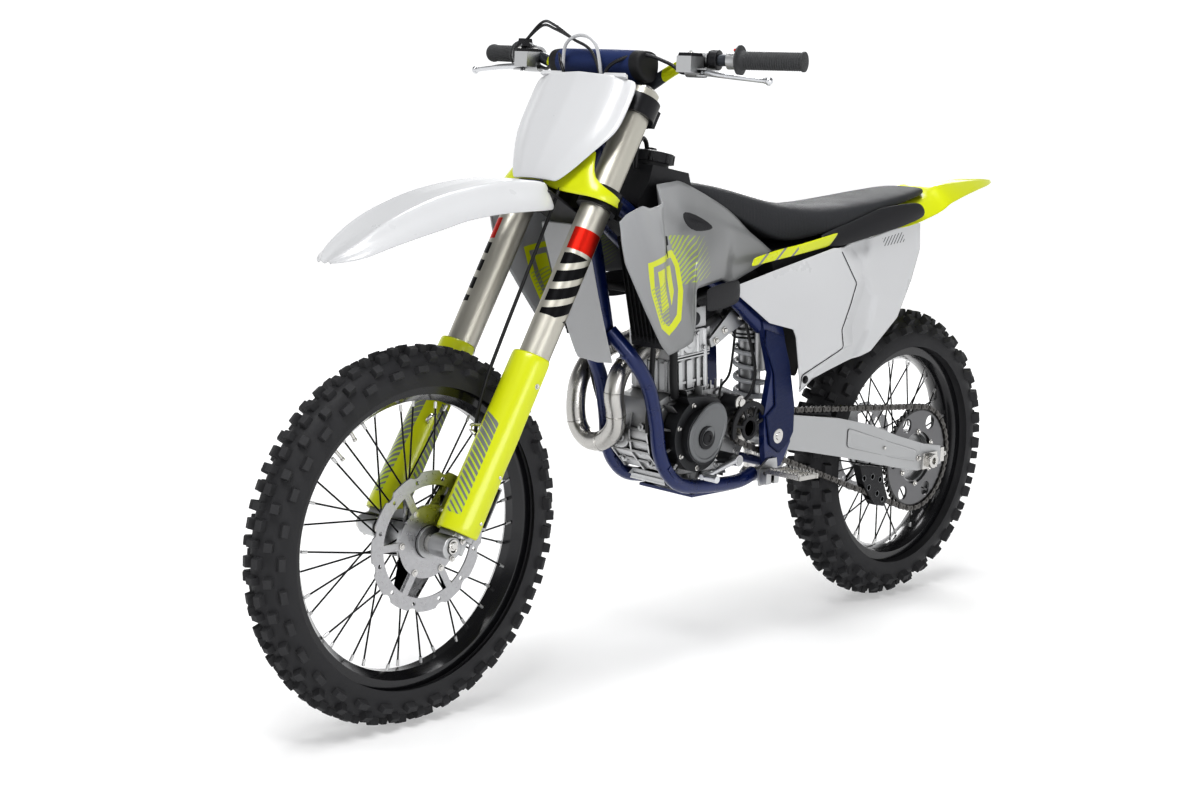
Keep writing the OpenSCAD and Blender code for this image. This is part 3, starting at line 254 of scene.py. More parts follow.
rubber = Mat("hose", (0.014, 0.014, 0.015), 0.45, bump=0.3, fine=800, vary=0.2).done()
white_m = Mat("white", WHT, 0.28, coat=0.4, bump=0.03, fine=400, vary=0.01, rvar=0.015).done()
greyin = Mat("tongue", (0.40, 0.405, 0.415), 0.4, bump=0.1, fine=500, vary=0.04).done()
GLOSS = dict(coat=0.3, bump=0.04, fine=400, vary=0.02, rvar=0.02)
yellow = Mat("yellow", YEL, 0.3, **GLOSS).done()
frame_m = Mat("frame_paint", (0.003, 0.013, 0.085), 0.30, metal=0.25, coat=0.3, bump=0.08, fine=1500,
    vary=0.25, cloud=40).corner_shade(0.02, 0.35).done()
red_m = Mat("red", (0.6, 0.02, 0.01), 0.3, coat=0.3, bump=0.03).done()
disc_m = Mat("disc", (0.42, 0.42, 0.43), 0.30, metal=1.0, bump=0.25, fine=300, vary=0.14, cloud=40,
    stretch=(3, 1, 3)).done()
chain_m = Mat("chain", (0.12, 0.115, 0.11), 0.36, metal=0.9, bump=0.2, fine=900, vary=0.25, cloud=60).done()
spring_m = Mat("spring", (0.58, 0.59, 0.61), 0.28, coat=0.5, bump=0.05, fine=500, vary=0.04).done()


def nipples(m, c, r):
    """Mask that is 1 beyond radius r from the axle at c, both in mm."""
    q = m.node("ShaderNodeVectorMath", operation="SUBTRACT")
    m.put(q.inputs[0], m.co)
    q.inputs[1].default_value = c * 0.001
    k = m.node("ShaderNodeVectorMath", operation="MULTIPLY")
    m.put(k.inputs[0], q.outputs[0])
    k.inputs[1].default_value = (1, 0, 1)
    n = m.node("ShaderNodeVectorMath", operation="LENGTH")
    m.put(n.inputs[0], k.outputs[0])
    return m.op("GREATER_THAN", n.outputs["Value"], r / 1000)


def spokes(name, c, r):
    """Black spokes with silver nipples from radius r outwards."""
    m = Mat(name, (0.014, 0.014, 0.015), 0.3, metal=0.8, bump=0.05)
    return m.paint(nipples(m, c, r), (0.6, 0.6, 0.6)).done()


spoke_f = spokes("spoke_front", FA, 237)
spoke_r = spokes("spoke_rear", RA, 211)
m = Mat("sprocket", (0.17, 0.17, 0.175), 0.34, metal=0.95, bump=0.1, fine=600)
sprocket_m = m.paint(nipples(m, RA, 112), (0.06, 0.06, 0.06)).done()

# Fork tubes: champagne satin with slanted dark bars and a red block
m = Mat("fork_tube", (0.50, 0.485, 0.43), 0.40, metal=0.92, bump=0.12, fine=900, stretch=(1, 1, 0.2))
uu = V(ax)
base = uu.dot(P0) / 1000
outward = V((an.x * .5, 0.86, an.z * .5)).normalized()
front = m.above(outward, outward.dot(fp(500, 104, 46)) / 1000)
lo, hi = m.above(uu, base + 0.462), m.no(m.above(uu, base + 0.588))
slant = (uu + an * 0.75).normalized()
m.paint(m.both(lo, hi, front, m.lines(slant, 30, 0.62)), BLK)
m.paint(m.both(m.above(uu, base + 0.596), m.no(m.above(uu, base + 0.640)), front), (0.55, 0.02, 0.01))
fork_m = m.done()

# Handlebar: dark with a yellow band on each side
m = Mat("bar", (0.045, 0.05, 0.06), 0.32, metal=0.6, bump=0.1, fine=700)
m.paint(m.both(m.above(LEFT, 0.135), m.no(m.above(LEFT, 0.175))), YEL)
bar_m = m.done()
m = Mat("pad", (0.010, 0.022, 0.085), 0.6, bump=0.5, fine=1200, vary=0.12)
m.paint(m.above(LEFT, 0.098), BLK)
pad_m = m.done()

# Grips and seat with a raised pattern
m = Mat("grip", (0.045, 0.046, 0.048), 0.62, bump=0.6, dist=0.0015, fine=500, vary=0.15)
m.emboss(m.both(m.lines(LEFT, 5, 0.55), m.lines((0.3, 0, 1), 5, 0.6)), 1.2)
grip_m = m.done()
m = Mat("seat", (0.027, 0.028, 0.031), 0.6, bump=0.55, dist=0.0022, fine=700, vary=0.12, cloud=16)
k = m.both(m.lines((0.96, 0.28, 0), 9, 0.55), m.lines((0.96, -0.28, 0), 9, 0.55))
m.emboss(m.both(k, m.above(AHEAD, -0.66)), 0.9)
m.emboss(m.both(m.lines(AHEAD, 74, 0.12), m.above(AHEAD, -0.55)), 1.6)
seat_m = m.done()
m = Mat("guard", (0.004, 0.012, 0.062), 0.45, bump=0.6, dist=0.002, fine=900, vary=0.2)
m.emboss(m.lines((0.25, 0, 0.97), 9, 0.6), 1.3)
guard_m = m.done()

# Shroud: grey with a fading hatch and a plain yellow shield with two bars
m = Mat("shroud", GREY, 0.32, coat=0.3, bump=0.04, fine=450, vary=0.02, rvar=0.02)
m.col = m.mix(m.fit(m.dot((0.9, 0, 0.44)), 0, 1, 0.45, 0.80), m.col, (0.31, 0.315, 0.325, 1))
fade = m.fit(m.dot(AHEAD), 0.02, 0.62, 0.085, 0.215)
m.paint(m.both(m.lines((0.5, 0, 0.87), 8, fade), m.poly([(205, 895), (84, 890), (92, 812), (190, 800)])),
    (0.36, 0.46, 0.06))
hatch = m.lines((0.5, 0, 0.87), 8, 0.4)
shield = m.poly([(318, 850), (262, 862), (204, 868), (190, 840), (188, 790), (206, 735), (236, 706),
    (262, 722), (300, 790)])
inner = m.poly([(302, 842), (262, 850), (214, 854), (204, 836), (203, 794), (217, 746), (238, 724),
    (256, 736), (288, 792)])
m.paint(m.both(shield, m.no(inner)), YEL)
m.paint(m.poly([(288, 832), (262, 838), (240, 762), (258, 750)]), YEL)
m.paint(m.poly([(244, 838), (222, 840), (218, 790), (232, 764)]), YEL)
m.paint(m.both(hatch, m.poly([(300, 800), (250, 812), (235, 724), (262, 730)])), (0.34, 0.40, 0.10))
shroud_m = m.done()
m = Mat("stripe", YEL, 0.3, coat=0.3, bump=0.04, vary=0.03)
m.paint(m.both(m.lines((0.6, 0, 0.8), 26, 0.18), m.above(AHEAD, -0.20)), GREY)
stripe_m = m.done()
m = Mat("side_panel", WHT, 0.28, coat=0.4, bump=0.03, fine=400, vary=0.01, rvar=0.015)
m.paint(m.both(m.lines((0.8, 0, 0.6), 9, 0.3), m.poly([(-600, 880), (-520, 868), (-530, 850),
    (-610, 858)])), DGREY)
panel_m = m.done()
rear_m = Mat("rear_fender", YEL, 0.3, **GLOSS).done()
# Fork guards: a grey field behind a hatch that thins out upwards
m = Mat("fork_guard", YEL, 0.3, **GLOSS)
low = m.both(m.no(m.above(uu, base + 0.265)), m.above(uu, base + 0.060))
gx = (V((0, cos(radians(44)), 0)) - an * sin(radians(44))).normalized()
side_at = gx.dot(fp(200, FORK_Y, FORK_S)) / 1000
inner = m.both(m.no(m.above(gx, side_at - 0.010)), m.above(gx, side_at - 0.0385))
dg = (uu + gx * 0.62).normalized()
cut = m.no(m.above(dg, dg.dot(fp(252, FORK_Y, FORK_S) - gx * 30) / 1000))
m.paint(m.both(low, inner, cut), (0.17, 0.18, 0.178))
fade = m.fit(m.dot(uu), 0.62, 0.12, base + 0.07, base + 0.25)
m.paint(m.both(low, inner, cut, m.lines((uu + gx * 0.9).normalized(), 9, fade)), (0.46, 0.58, 0.03))
guardf_m = m.done()


# ------------------------------------------------------------ mesh building, in mm
def flip(p):
    """The same point on the machine's other side."""
    return V((p[0], -p[1], p[2]))


def sides(x, y, z):
    """Half-size vectors of a box that lies along the axes."""
    return (x, 0, 0), (0, y, 0), (0, 0, z)


class B:
    """Vertices and faces of one piece."""

    def __init__(s):
        s.v, s.f = [], []

    def add(s, verts, faces):
        k = len(s.v)
        s.v += [V(p) for p in verts]
        s.f += [tuple(i + k for i in f) for f in faces]
        return s

    def mirror(s):
        n = len(s.v)
        s.v += [flip(p) for p in s.v]
        s.f += [tuple(i + n for i in reversed(f)) for f in s.f]
        return s

    def rings(s, rings, closed=True, caps=True):
        """Skin over a row of rings with equal counts of points; an open ring gives a sheet."""
        n, k = len(rings[0]), len(s.v)
        fs = []
        for i in range(len(rings) - 1):
            for j in range(n if closed else n - 1):
                a, b = i * n + j, i * n + (j + 1) % n
                fs.append((a, b, b + n, a + n))
        if caps and closed:
            fs.append(tuple(range(n - 1, -1, -1)))
            fs.append(tuple((len(rings) - 1) * n + j for j in range(n)))
        return s.add([p for r in rings for p in r], fs)

    def tube(s, path, r, n=12, flat=1.0, up=None):
        """Tube along a path; r is a radius or a function of the share of the path."""
        path = [V(p) for p in path]
        rings, ref = [], V(up) if up else None
        for i, p in enumerate(path):
            t = (path[min(i + 1, len(path) - 1)] - path[max(i - 1, 0)]).normalized()
            if ref is None:
                ref = t.orthogonal()
            a = (ref - t * ref.dot(t)).normalized()
            ref = a
            b = t.cross(a)
            q = r(i / (len(path) - 1)) if callable(r) else r
            turns = [2 * pi * j / n for j in range(n)]
            rings.append([p + a * q * cos(w) + b * q * flat * sin(w) for w in turns])
        return s.rings(rings)

    def turn(s, c, d, prof, n=24):
        """Solid of revolution: prof is (distance along d, radius)."""
        d = V(d).normalized()
        a = d.orthogonal().normalized()
        b = d.cross(a)
        c = V(c)
        turns = [2 * pi * j / n for j in range(n)]
        return s.rings([[c + d * h + (a * cos(w) + b * sin(w)) * max(r, 0.01) for w in turns]
                        for h, r in prof])

    def bolt(s, c, d, r=5, h=4):
        """Flanged hexagon head at c, facing along d."""
        s.turn(c, d, [(0, r * 1.5), (1.2, r * 1.5), (1.3, r * 1.4)], 16)
        s.turn(V(c) + V(d).normalized() * 1.3, d, [(0, r), (h - 0.6, r), (h, r * 0.85)], 6)
        return s

    def box(s, c, x, y, z, taper=1.0):
        """x, y, z are half-size vectors."""
        c, x, y, z = V(c), V(x), V(y), V(z)
        corners = ((-1, -1), (1, -1), (1, 1), (-1, 1))
        p = [c + z * w + (x * u + y * v) * (taper if w > 0 else 1) for w in (-1, 1) for u, v in corners]
        return s.add(p, [(3, 2, 1, 0), (4, 5, 6, 7), (0, 1, 5, 4), (1, 2, 6, 5), (2, 3, 7, 6),
            (3, 0, 4, 7)])


def weld(me, dist, flat=0):
    """Joins points nearer than dist metres, and faces that meet at under flat degrees."""
    bm = bmesh.new()
    bm.from_mesh(me)
    bmesh.ops.remove_doubles(bm, verts=bm.verts, dist=dist)
    if flat:
        bmesh.ops.dissolve_limit(bm, angle_limit=radians(flat), verts=bm.verts, edges=bm.edges)
    bmesh.ops.recalc_face_normals(bm, faces=bm.faces)
    bm.to_mesh(me)
    bm.free()


def make(name, b, mat, body="chassis", rep=(), **look):
    me = bpy.data.meshes.new(name)
    me.from_pydata([tuple(p * 0.001) for p in b.v], [], b.f)
    weld(me, 2e-6)
    o = bpy.data.objects.new(name, me)
    sc.collection.objects.link(o)
    return finish(o, mat, body, rep, **look)


def finish(o, mat, body, rep=(), sub=0, solid=0.0, bev=0.0, sharp=40, slot=None, blend=None,
           offset=-1.0):
    """Material, modifiers (in mm) and the frame's calls; rep names the CAD nodes it stands for."""
    me = o.data
    me.materials.clear()
    me.materials.append(mat)
    me.polygons.foreach_set("use_smooth", [True] * len(me.polygons))
    me.set_sharp_from_angle(angle=radians(sharp))
    if solid:
        q = o.modifiers.new("solid", "SOLIDIFY")
        q.thickness, q.offset = solid * 0.001, offset
    if bev:
        q = o.modifiers.new("bevel", "BEVEL")
        q.width, q.segments = bev * 0.001, 2
        q.limit_method, q.angle_limit = "ANGLE", radians(32)
        q.use_clamp_overlap = True
    if sub:
        q = o.modifiers.new("sub", "SUBSURF")
        q.levels = q.render_levels = sub
    if blend:
        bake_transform(o, *blend)
    else:
        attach(o, body)
    if rep:
        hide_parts(*rep)
    return o


def clean(node, mat, bev):
    """Tidy copy of a CAD node with its flat faces joined and its edges rounded."""
    src = frame["nodes"][node]
    me = src.data.copy()
    me.name = node + "_look"
    weld(me, 3e-6, flat=0.6)
    for a in [a for a in me.attributes if a.name == "custom_normal"]:
        me.attributes.remove(a)
    o = bpy.data.objects.new(node + "_look", me)
    sc.collection.objects.link(o)
    slot = [q["material_slot"] for q in frame["record"]["subparts"] if q["node"] == node][0]
    return finish(o, mat, src["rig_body"], (node,), bev=bev, sharp=35, slot=slot)


def curve(pts, k=6):
    """Smooth curve through points."""
    pts = [V(p) for p in pts]
    out = []
    for i in range(len(pts) - 1):
        a, b, c, d = pts[max(i - 1, 0)], pts[i], pts[i + 1], pts[min(i + 2, len(pts) - 1)]
        for j in range(k):
            t = j / k
            out.append(0.5 * (2 * b + t * (c - a) + t * t * (2 * a - 5 * b + 4 * c - d)
                              + t ** 3 * (3 * b - a - 3 * c + d)))
    return out + [pts[-1]]


def even(pts, n):
    """n + 1 points at equal steps along a polyline."""
    pts = [V(p) for p in pts]
    ls = [(pts[i + 1] - pts[i]).length for i in range(len(pts) - 1)]
    total, out, i, acc = sum(ls), [], 0, 0.0
    for k in range(n + 1):
        d = total * k / n
        while i < len(ls) - 1 and acc + ls[i] < d:
            acc += ls[i]
            i += 1
        out.append(pts[i].lerp(pts[i + 1], min(1, (d - acc) / max(ls[i], 1e-9))))
    return out


def strip(top, bottom, n, rows, bulge):
    """Sheet between two edge lines; bulge(a, b) pushes it out along Y."""
    t, q = even(top, n), even(bottom, n)
    g = []
    for i in range(n + 1):
        r = []
        for j in range(rows + 1):
            w = j / rows
            p = t[i].lerp(q[i], w)
            p.y += bulge(i / n, w)
            r.append(p)
        g.append(r)
    return g


# ------------------------------------------------------------ wheels
def tyre(name, c, R, kh, a, b, rim, bead, rows, count, body, node):
    """Carcass with count rows of knobs round it. R is the radius over the knobs, kh their height, a half
    the carcass's width and b its height above the widest place. A knob is (angle from the crown in
    degrees, size across, size along, share of kh), and is made on both sides unless its angle is 0."""
    o = B()
    rc = R - kh - b
    prof = [(bead - 3, rim - 3), (bead + 3, rim + 5)]
    for i in range(25):
        f = radians(100 - 200 * i / 24)
        prof.append((a * sin(f), rc + b * cos(f)))
    prof += [(-bead - 3, rim + 5), (3 - bead, rim - 3)]
    turns = [2 * pi * j / 120 for j in range(120)]
    o.rings([[c + V((r * cos(w), y, r * sin(w))) for w in turns] for y, r in prof], caps=False)
    make(name, o, tyre_m, body, (node,), slot="tyre_rubber", sharp=60)
    k = B()
    for i in range(count):
        for f, across, along, high in rows[i % len(rows)]:
            for sg in ((-1, 1) if f else (1,)):
                g = radians(f) * sg
                q = 2 * pi * (i + 0.12 * random.random()) / count
                rad = V((cos(q), 0, sin(q)))
                tan = V((-sin(q), 0, cos(q)))
                p = c + rad * (rc + b * cos(g)) + V((0, a * sin(g), 0))
                nrm = (rad * cos(g) / b + V((0, sin(g) / a, 0))).normalized()
                sd = nrm.cross(tan)
                h = kh * high
                k.box(p + nrm * (h / 2 - 1.5), tan * along / 2, sd * across / 2, nrm * (h / 2 + 1.5), 0.84)
    make(name + "_knobs", k, knob_m, body, bev=0.9, sharp=30, slot="tyre_rubber")


tyre("front_tyre_look", FA, 352, 13, 41, 50, 282, 23.5,
    [[(15, 15, 22, 1), (64, 14, 26, .95)], [(0, 20, 15, .95), (38, 17, 19, 1)]], 66, "front_wheel",
    "front_tyre")
tyre("rear_tyre_look", RA, 343, 16, 53, 58, 256, 30,
    [[(13, 19, 17, 1), (60, 19, 27, .95)], [(0, 30, 16, .95), (36, 21, 20, 1)]], 60, "rear_wheel",
    "rear_tyre")
for nd, mt, bv in (("front_rim", rim_m, 0), ("rear_rim", rim_m, 0), ("front_spokes", spoke_f, 0),
        ("rear_spokes", spoke_r, 0), ("front_hub", satin, .8), ("rear_hub", satin, .8),
        ("front_disc", disc_m, .4), ("rear_disc", disc_m, .4), ("rear_sprocket", sprocket_m, .5),
        ("drive_sprocket", steel, .5)):
    clean(nd, mt, bv)
# Valve and rim lock at radius r, and the disc bolts: place across, first angle and height of a head
for body, c, r, bolt_y, first, high in (("front_wheel", FA, 251, 57.5, 0, 2.4),
                                        ("rear_wheel", RA, 225, 85.0, pi / 6, 4)):
    b = B()
    for q, ln in ((0.8, 26), (0.98, 18)):
        d = V((cos(q), 0, sin(q)))
        b.turn(c + d * r, -d, [(0, 6), (3, 6), (3.5, 3.4), (ln, 3.2), (ln + .5, 4), (ln + 5, 4),
            (ln + 5.5, 3)], 10)
    make("valve_" + body, b, bolt_m, body)
    b = B()
    for i in range(6):
        q = i * pi / 3 + first
        b.bolt(c + V((62 * cos(q), bolt_y, 62 * sin(q))), LEFT, 4.3, high)
    make("disc_bolts_" + body, b, bolt_m, body)

# ------------------------------------------------------------ fork, clamps and front brake
clean("fork_outer_tubes", fork_m, .6)
clean("triple_clamps", blackm, 2.5)
clean("fork_legs", satin, 2)
clean("front_axle", bolt_m, .8)
clean("front_caliper", satin, 4)
b = B()
for s in (-1, 1):
    for u in (697, 722, 893, 916):
        b.bolt(fp(u, s * 76, 40), an, 4.5, 5)
    b.turn(fp(940.5, s * FORK_Y, FORK_S), ax, [(0, 24), (4, 24), (5, 22), (5.1, 12), (10, 12)], 24)
    b.turn(fp(372, s * FORK_Y, FORK_S), ax, [(0, 27), (0.5, 31.2), (9, 31.2), (10, 29.6)], 32)
    b.bolt(fp(6, s * 123, 52), (0, s, 0), 7, 4)
    b.bolt(fp(20, s * 122.5, 34), (0, s, 0), 4, 4)
    b.bolt(fp(-16, s * 122.5, 42), (0, s, 0), 4, 4)
    for y in (-13, 13):
        for ahead in (-6, 22):
            b.bolt(fp(974, s * 50 + y * .6, ahead), ax, 3.6, 5)
make("fork_bolts", b, bolt_m, "steering")
b = B()
b.turn(fp(104, 36, -30), (0, -1, 0), [(-4, 14), (0, 14), (0.5, 10)], 20)
for u in (76, 132):
    b.bolt(fp(u, 78, -30), LEFT, 5, 6)
b.tube([fp(66, 79, -44), fp(142, 79, -44)], 3, 8)
b.turn(fp(104, 78, -30), LEFT, [(0, 17), (1.5, 17), (2.5, 14), (3, 13)], 20)
make("caliper_details", b, blackm, "fork_slider")

# Guards on the fork sliders: a wrapped shell that widens towards the foot
b = B()
rings = []
for i in range(15):
    t = i / 14
    u = 384 - 356 * t
    r = 39.5 + 1.5 * t
    wide = 16 * max(0, t - 0.25)
    g = []
    for j in range(15):
        q = radians(-98 + 200 * j / 14)
        c, s_ = cos(q), sin(q)
        cut = 1 - 0.10 * max(0, cos(q * 3)) * (t > .5)
        g.append(fp(u, FORK_Y + s_ * (r + wide * .16) * cut, FORK_S + c * (r + wide * .55 * max(0, c))))
    rings.append(g)
b.rings(rings, closed=False)
b.mirror()
DISC_CLEAR = 63  # nothing of a guard comes nearer the middle, where the disc bolts pass
for p in b.v:
    p.y = copysign(max(abs(p.y), DISC_CLEAR), p.y)
make("fork_guards_look", b, guardf_m, "fork_slider", ("fork_guards",), sub=1, solid=3.0, sharp=60,
    slot="yellow_plastic", offset=0)
b = B()
for u in (60, 150, 330):
    b.bolt(fp(u, 140, 28), LEFT, 3.6, 3)
b.tube(curve([fp(232, 62, 50), fp(226, 56, 62), fp(216, 60, 64), fp(212, 66, 56)]), 3.4, 8)
make("guard_bolts", b.mirror(), bolt_m, "fork_slider")

# Brake hose from the front master cylinder, bending with the fork
hose = curve([fp(846, 60, 92), fp(790, 52, 84), fp(700, 50, 84), fp(560, 52, 80), fp(400, 54, 76),
    fp(300, 55.5, 70), fp(220, 51, 42), fp(168, 56, -12), fp(150, 58, -30)], 14)
make("brake_hose", B().tube(hose, 3.4, 10, up=LEFT), rubber, None, ("front_brake_hose",),
    slot="hose_rubber", blend=("steering", "fork_slider", fp(840, 60, 90) * .001, fp(300, 52, 70) * .001))

# ------------------------------------------------------------ number plate, front fender, fork cover
b = B()
g = []
# Sections of the plate: up the axis, half width, edge and middle ahead of the axis
for u, w, se, sm in ((702, 56, 108, 114), (712, 68, 106, 114), (740, 87, 100, 114), (780, 110, 94, 113),
        (803, 123, 88, 113), (822, 131, 84, 112), (840, 135, 82, 112), (875, 136, 82, 111),
        (908, 136, 82, 111), (924, 133, 83, 111), (931, 126, 85, 111)):
    r = []
    for j in range(25):
        q = j / 12 - 1
        k = min(1, max(0, (abs(q) - .62) / .38))
        dip = -2.2 * exp(-((abs(q) - .80) / .05) ** 2) * (u > 780)
        fall = 0.25 * abs(q) / .62 if abs(q) < .62 else .25 + .75 * k
        r.append(fp(u + 2.5 * (1 - abs(q)) * (u > 900), q * w, sm - (sm - se) * fall + dip))
    g.append(r)
b.rings(g, closed=False)
make("number_plate_look", b, white_m, "steering", ("number_plate",), sub=1, solid=3.2, sharp=70,
    slot="white_plastic")
b = B()
for y in (-84, 84):
    b.box(fp(934, y, 96), (0, 30, 0), an * 5, ax * 4, .9)
make("plate_lip", b, white_m, "steering", bev=1)

# Sections of the front fender: x, half width, height of the crown, height of the edge
fs = [(946, 20, 861, 859), (930, 44, 876, 863), (905, 62, 893, 869), (870, 69, 917, 882),
    (834, 74, 938, 893), (795, 76, 955, 903), (757, 77, 969, 912), (725, 78, 979, 920), (698, 79, 985, 928),
    (650, 80, 994, 936), (600, 81, 1001, 941), (550, 82, 1004, 943), (515, 82, 1004, 944),
    (485, 78, 1001, 945), (466, 70, 996, 946)]


def front_rise(q, x):
    """Share of the crown's height, and what the crests and the middle hollow add in mm."""
    h = 1 - 0.10 * min(1, q / .55) if q < .55 else 0.90 - 0.90 * ((q - .55) / .45) ** 1.6
    crest = 7 * exp(-((q - .60) / .06) ** 2) * min(1, (960 - x) / 90)
    return h, crest - 4 * exp(-((q - .74) / .08) ** 2) - 4 * exp(-(q / .3) ** 2)


def crowned(sections, rise):
    """Sheet over (x, half width, crown, edge) sections; rise(q, x) at share q of the half width."""
    g = []
    for x, w, crown, edge in sections:
        g.append([])
        for q in [j / 8 - 1 for j in range(17)]:
            h, more = rise(abs(q), x)
            g[-1].append(V((x, q * w, edge + (crown - edge) * h + more)))
    return B().rings(g, closed=False)


make("front_fender_look", crowned(fs, front_rise), white_m, "steering", ("front_fender",), sub=2, solid=3.0,
    sharp=70, slot="white_plastic")
SPAN = [k / 6 - 1 for k in range(13)]  # right edge to left edge of a sheet
b = B()
tg = []
for x, y, z in ((268, 47, 634), (272, 50, 642), (297, 54, 700), (313, 56, 740), (328, 57, 780),
        (340, 59, 815), (352, 60, 850), (366, 61, 890), (374, 62, 914)):
    tg.append([V((x + 5 * (abs(q) ** 2.2), q * y, z + 5 * abs(q) * (z < 640))) for q in SPAN])
b.rings(tg, closed=False)
make("fender_tongue", b, greyin, "steering", sub=1, solid=3, sharp=70)
b = B()
b.box(fp(681, 0, 28), an * 86, (0, 58, 0), ax * 3, .96)
b.box(fp(690, 0, 106), an * 12, (0, 34, 0), ax * 9, .9)
make("fender_base", b, blackp, "steering", bev=2)
b = B()
cov = []
for t, l in (((718, 4, 84), (704, 4, 90)), ((733, 20, 82), (700, 20, 88)), ((754, 45, 80), (695, 44, 86)),
        ((774, 70, 78), (693, 68, 84)), ((792, 92, 76), (693, 86, 80)), ((778, 97, 75), (693, 94, 78)),
        ((742, 106, 73), (694, 104, 76)), ((727, 124, 67), (695, 122, 70)),
        ((721, 138, 54), (696, 138, 57)), ((719, 145, 36), (698, 146, 36)),
        ((716, 144, 16), (700, 145, 14))):
    t, l = fp(*t), fp(*l)
    cov.append([t.lerp(l, k / 6) + an * (3.5 * sin(pi * k / 6)) for k in range(7)])
b.rings(cov, closed=False).mirror()
make("fork_cover_look", b, yellow, "steering", ("fork_shroud",), sub=1, solid=3, sharp=60,
    slot="yellow_plastic", offset=0)

# ------------------------------------------------------------ handlebar
bc = fp(958, 0, 8)
half = [bc, bc + V((0, 40, 0)), bc + V((0, 66, 0)), bc + V((2, 92, 6)), bc + V((8, 165, 40)),
    bc + V((2, 215, 54)), (234, 262, 1231), (212, 338, 1232), (191, 413, 1233)]
full = curve([flip(p) for p in half[:0:-1]] + half, 8)


def bar_radius(t):
    """Oversize in the middle, tapering to the grips."""
    far = abs(t - .5)
    return 14 if far < .1 else 11 if far > .26 else 14 - 3 * (far - .1) / .16


make("handlebar_look", B().tube(full, bar_radius, 20, up=UP), bar_m, "steering", ("handlebar",),
    slot="bar_grey")
sec = [(256, 1200), (264, 1186), (282, 1181), (305, 1190), (322, 1213), (318, 1234), (304, 1245),
    (266, 1244), (255, 1228)]
b = B()
prs = []
for y, k in ((-122, .72), (-120, .93), (-114, 1), (-60, 1.01), (0, 1.02), (60, 1.01), (114, 1), (120, .93),
        (122, .72)):
    prs.append([V((288 + (x - 288) * k, y, 1214 + (z - 1214) * k)) for x, z in sec])
b.rings(prs)
o = make("bar_pad_look", b, pad_m, "steering", ("bar_pad",), sub=2, sharp=80, slot="navy_pad")
g0, g1 = V((234, 262, 1231)), V((191, 413, 1233))
gd = (g1 - g0).normalized()


def onb(y, sg=1):
    """Point on the grip's axis, y mm from the middle; sg is -1 on the right."""
    p = g0 + gd * ((y - 262) / gd.y)
    return V((p.x, sg * p.y, p.z))


for sg, body, node in ((1, "steering", "grip_left"), (-1, "throttle_grip_body", "throttle_grip")):
    d = V((gd.x, sg * gd.y, gd.z))
    prof = [(0, 27), (1.5, 28.5), (4, 28), (6, 19), (9, 17.2)]
    for i in range(24):
        prof += [(12 + i * 4.7, 17.0), (13.4 + i * 4.7, 15.6), (15.2 + i * 4.7, 15.6),
            (16.2 + i * 4.7, 16.9)]
    prof += [(127, 18.6), (130, 18.4), (131, 16), (131.2, 4)]
    make(node + "_look", B().turn(onb(290, sg), d, prof, 28), grip_m, body, (node,), slot="grip_rubber",
        sharp=50)
clean("master_cylinders", satin, 2)
b = B()
for sg in (-1, 1):
    b.box((280, sg * 218, 1238), *sides(17, 17, 4), .9)
    b.turn(onb(236, sg), (gd.x, sg * gd.y, gd.z), [(0, 17.5), (1, 19), (16, 19), (17, 17.5)], 24)
    b.tube(curve([(262, sg * 200, 1207), (268, sg * 186, 1206), (276, sg * 160, 1214 + 8 * sg),
        (300, sg * 110, 1236), (334, sg * 66, 1214), (334, sg * 48, 1178)], 6), 3.6, 8)
b.turn(onb(268, -1), (gd.x, -gd.y, gd.z), [(0, 22), (2, 25.5), (17, 25.5), (19, 22)], 28)
b.box(onb(276, -1) + V((2, 0, 24)), *sides(13, 10, 8), .85)
make("bar_blacks", b, blackm, "steering", bev=.8)
b = B()
for sg in (-1, 1):
    for dx, dy in ((-11, -11), (11, 11)):
        b.bolt(V((280 + dx, sg * (218 + dy), 1242)), UP, 2.6, 2.4)
    for y in (222, 230):
        b.bolt((268, sg * y, 1219), AHEAD, 3, 4)
make("bar_bolts", b, bolt_m, "steering")
for sg, body, node in ((1, "clutch_lever_body", "clutch_lever"), (-1, "brake_lever_body", "brake_lever")):
    p = curve([(269, sg * 243, 1207), (278, sg * 262, 1206), (286, sg * 290, 1204), (281, sg * 322, 1201),
        (274, sg * 350, 1199), (266, sg * 376, 1197), (262, sg * 392, 1196)], 6)
    b = B().tube(p, lambda t: 5.6 - 1.8 * min(1, t * 2) if t < .9 else 4.6, 14, flat=1.25, up=AHEAD)
    b.turn((262, sg * 385, 1196), (-.1, sg, 0), [(0, 2), (1.5, 5.5), (5, 7.8), (8.5, 7.8), (12, 5.5),
        (14, 1.5)], 18)
    b.turn((268, sg * 246, 1203.2), UP, [(0, 8.5), (.6, 9), (7, 9), (7.6, 8.5)], 20)
    make(node + "_look", b, alu, body, (node,), slot="alloy", sharp=50)
press = V((-8, 0, 24)).normalized()
make("stop_button_look", B().turn(onb(278) + press * 17.6, press, [(0, 4), (3.8, 4), (4.4, 3.3)], 20),
    red_m, "stop_button_body", ("stop_button",), sharp=40)
b = B()
for k in (0, 7):
    b.tube(curve([onb(276, -1) + V((4, 6, 30)), (224, -235, 1290 + k), (262, -160, 1282 + k),
        (300, -70, 1262), (322, 6, 1236), (336, 50, 1168), (326, 47, 1100), (300, 40 + k, 1040)], 8), 2.9,
        8)
make("throttle_cables", b, rubber, "steering")
b = B().tube(curve([(332, 44, 1180), (338, 30, 1250), (336, -14, 1268), (333, -56, 1250), (328, -66, 1200)],
    8), 3.4, 8)
make("bar_hose", b, greyin, "steering")
b = B().tube(curve([(150, 0, 1050), (157, 3, 1068), (176, 10, 1077), (194, 16, 1066), (203, 20, 1044),
    (206, 24, 1018)], 8), 4.6, 10)
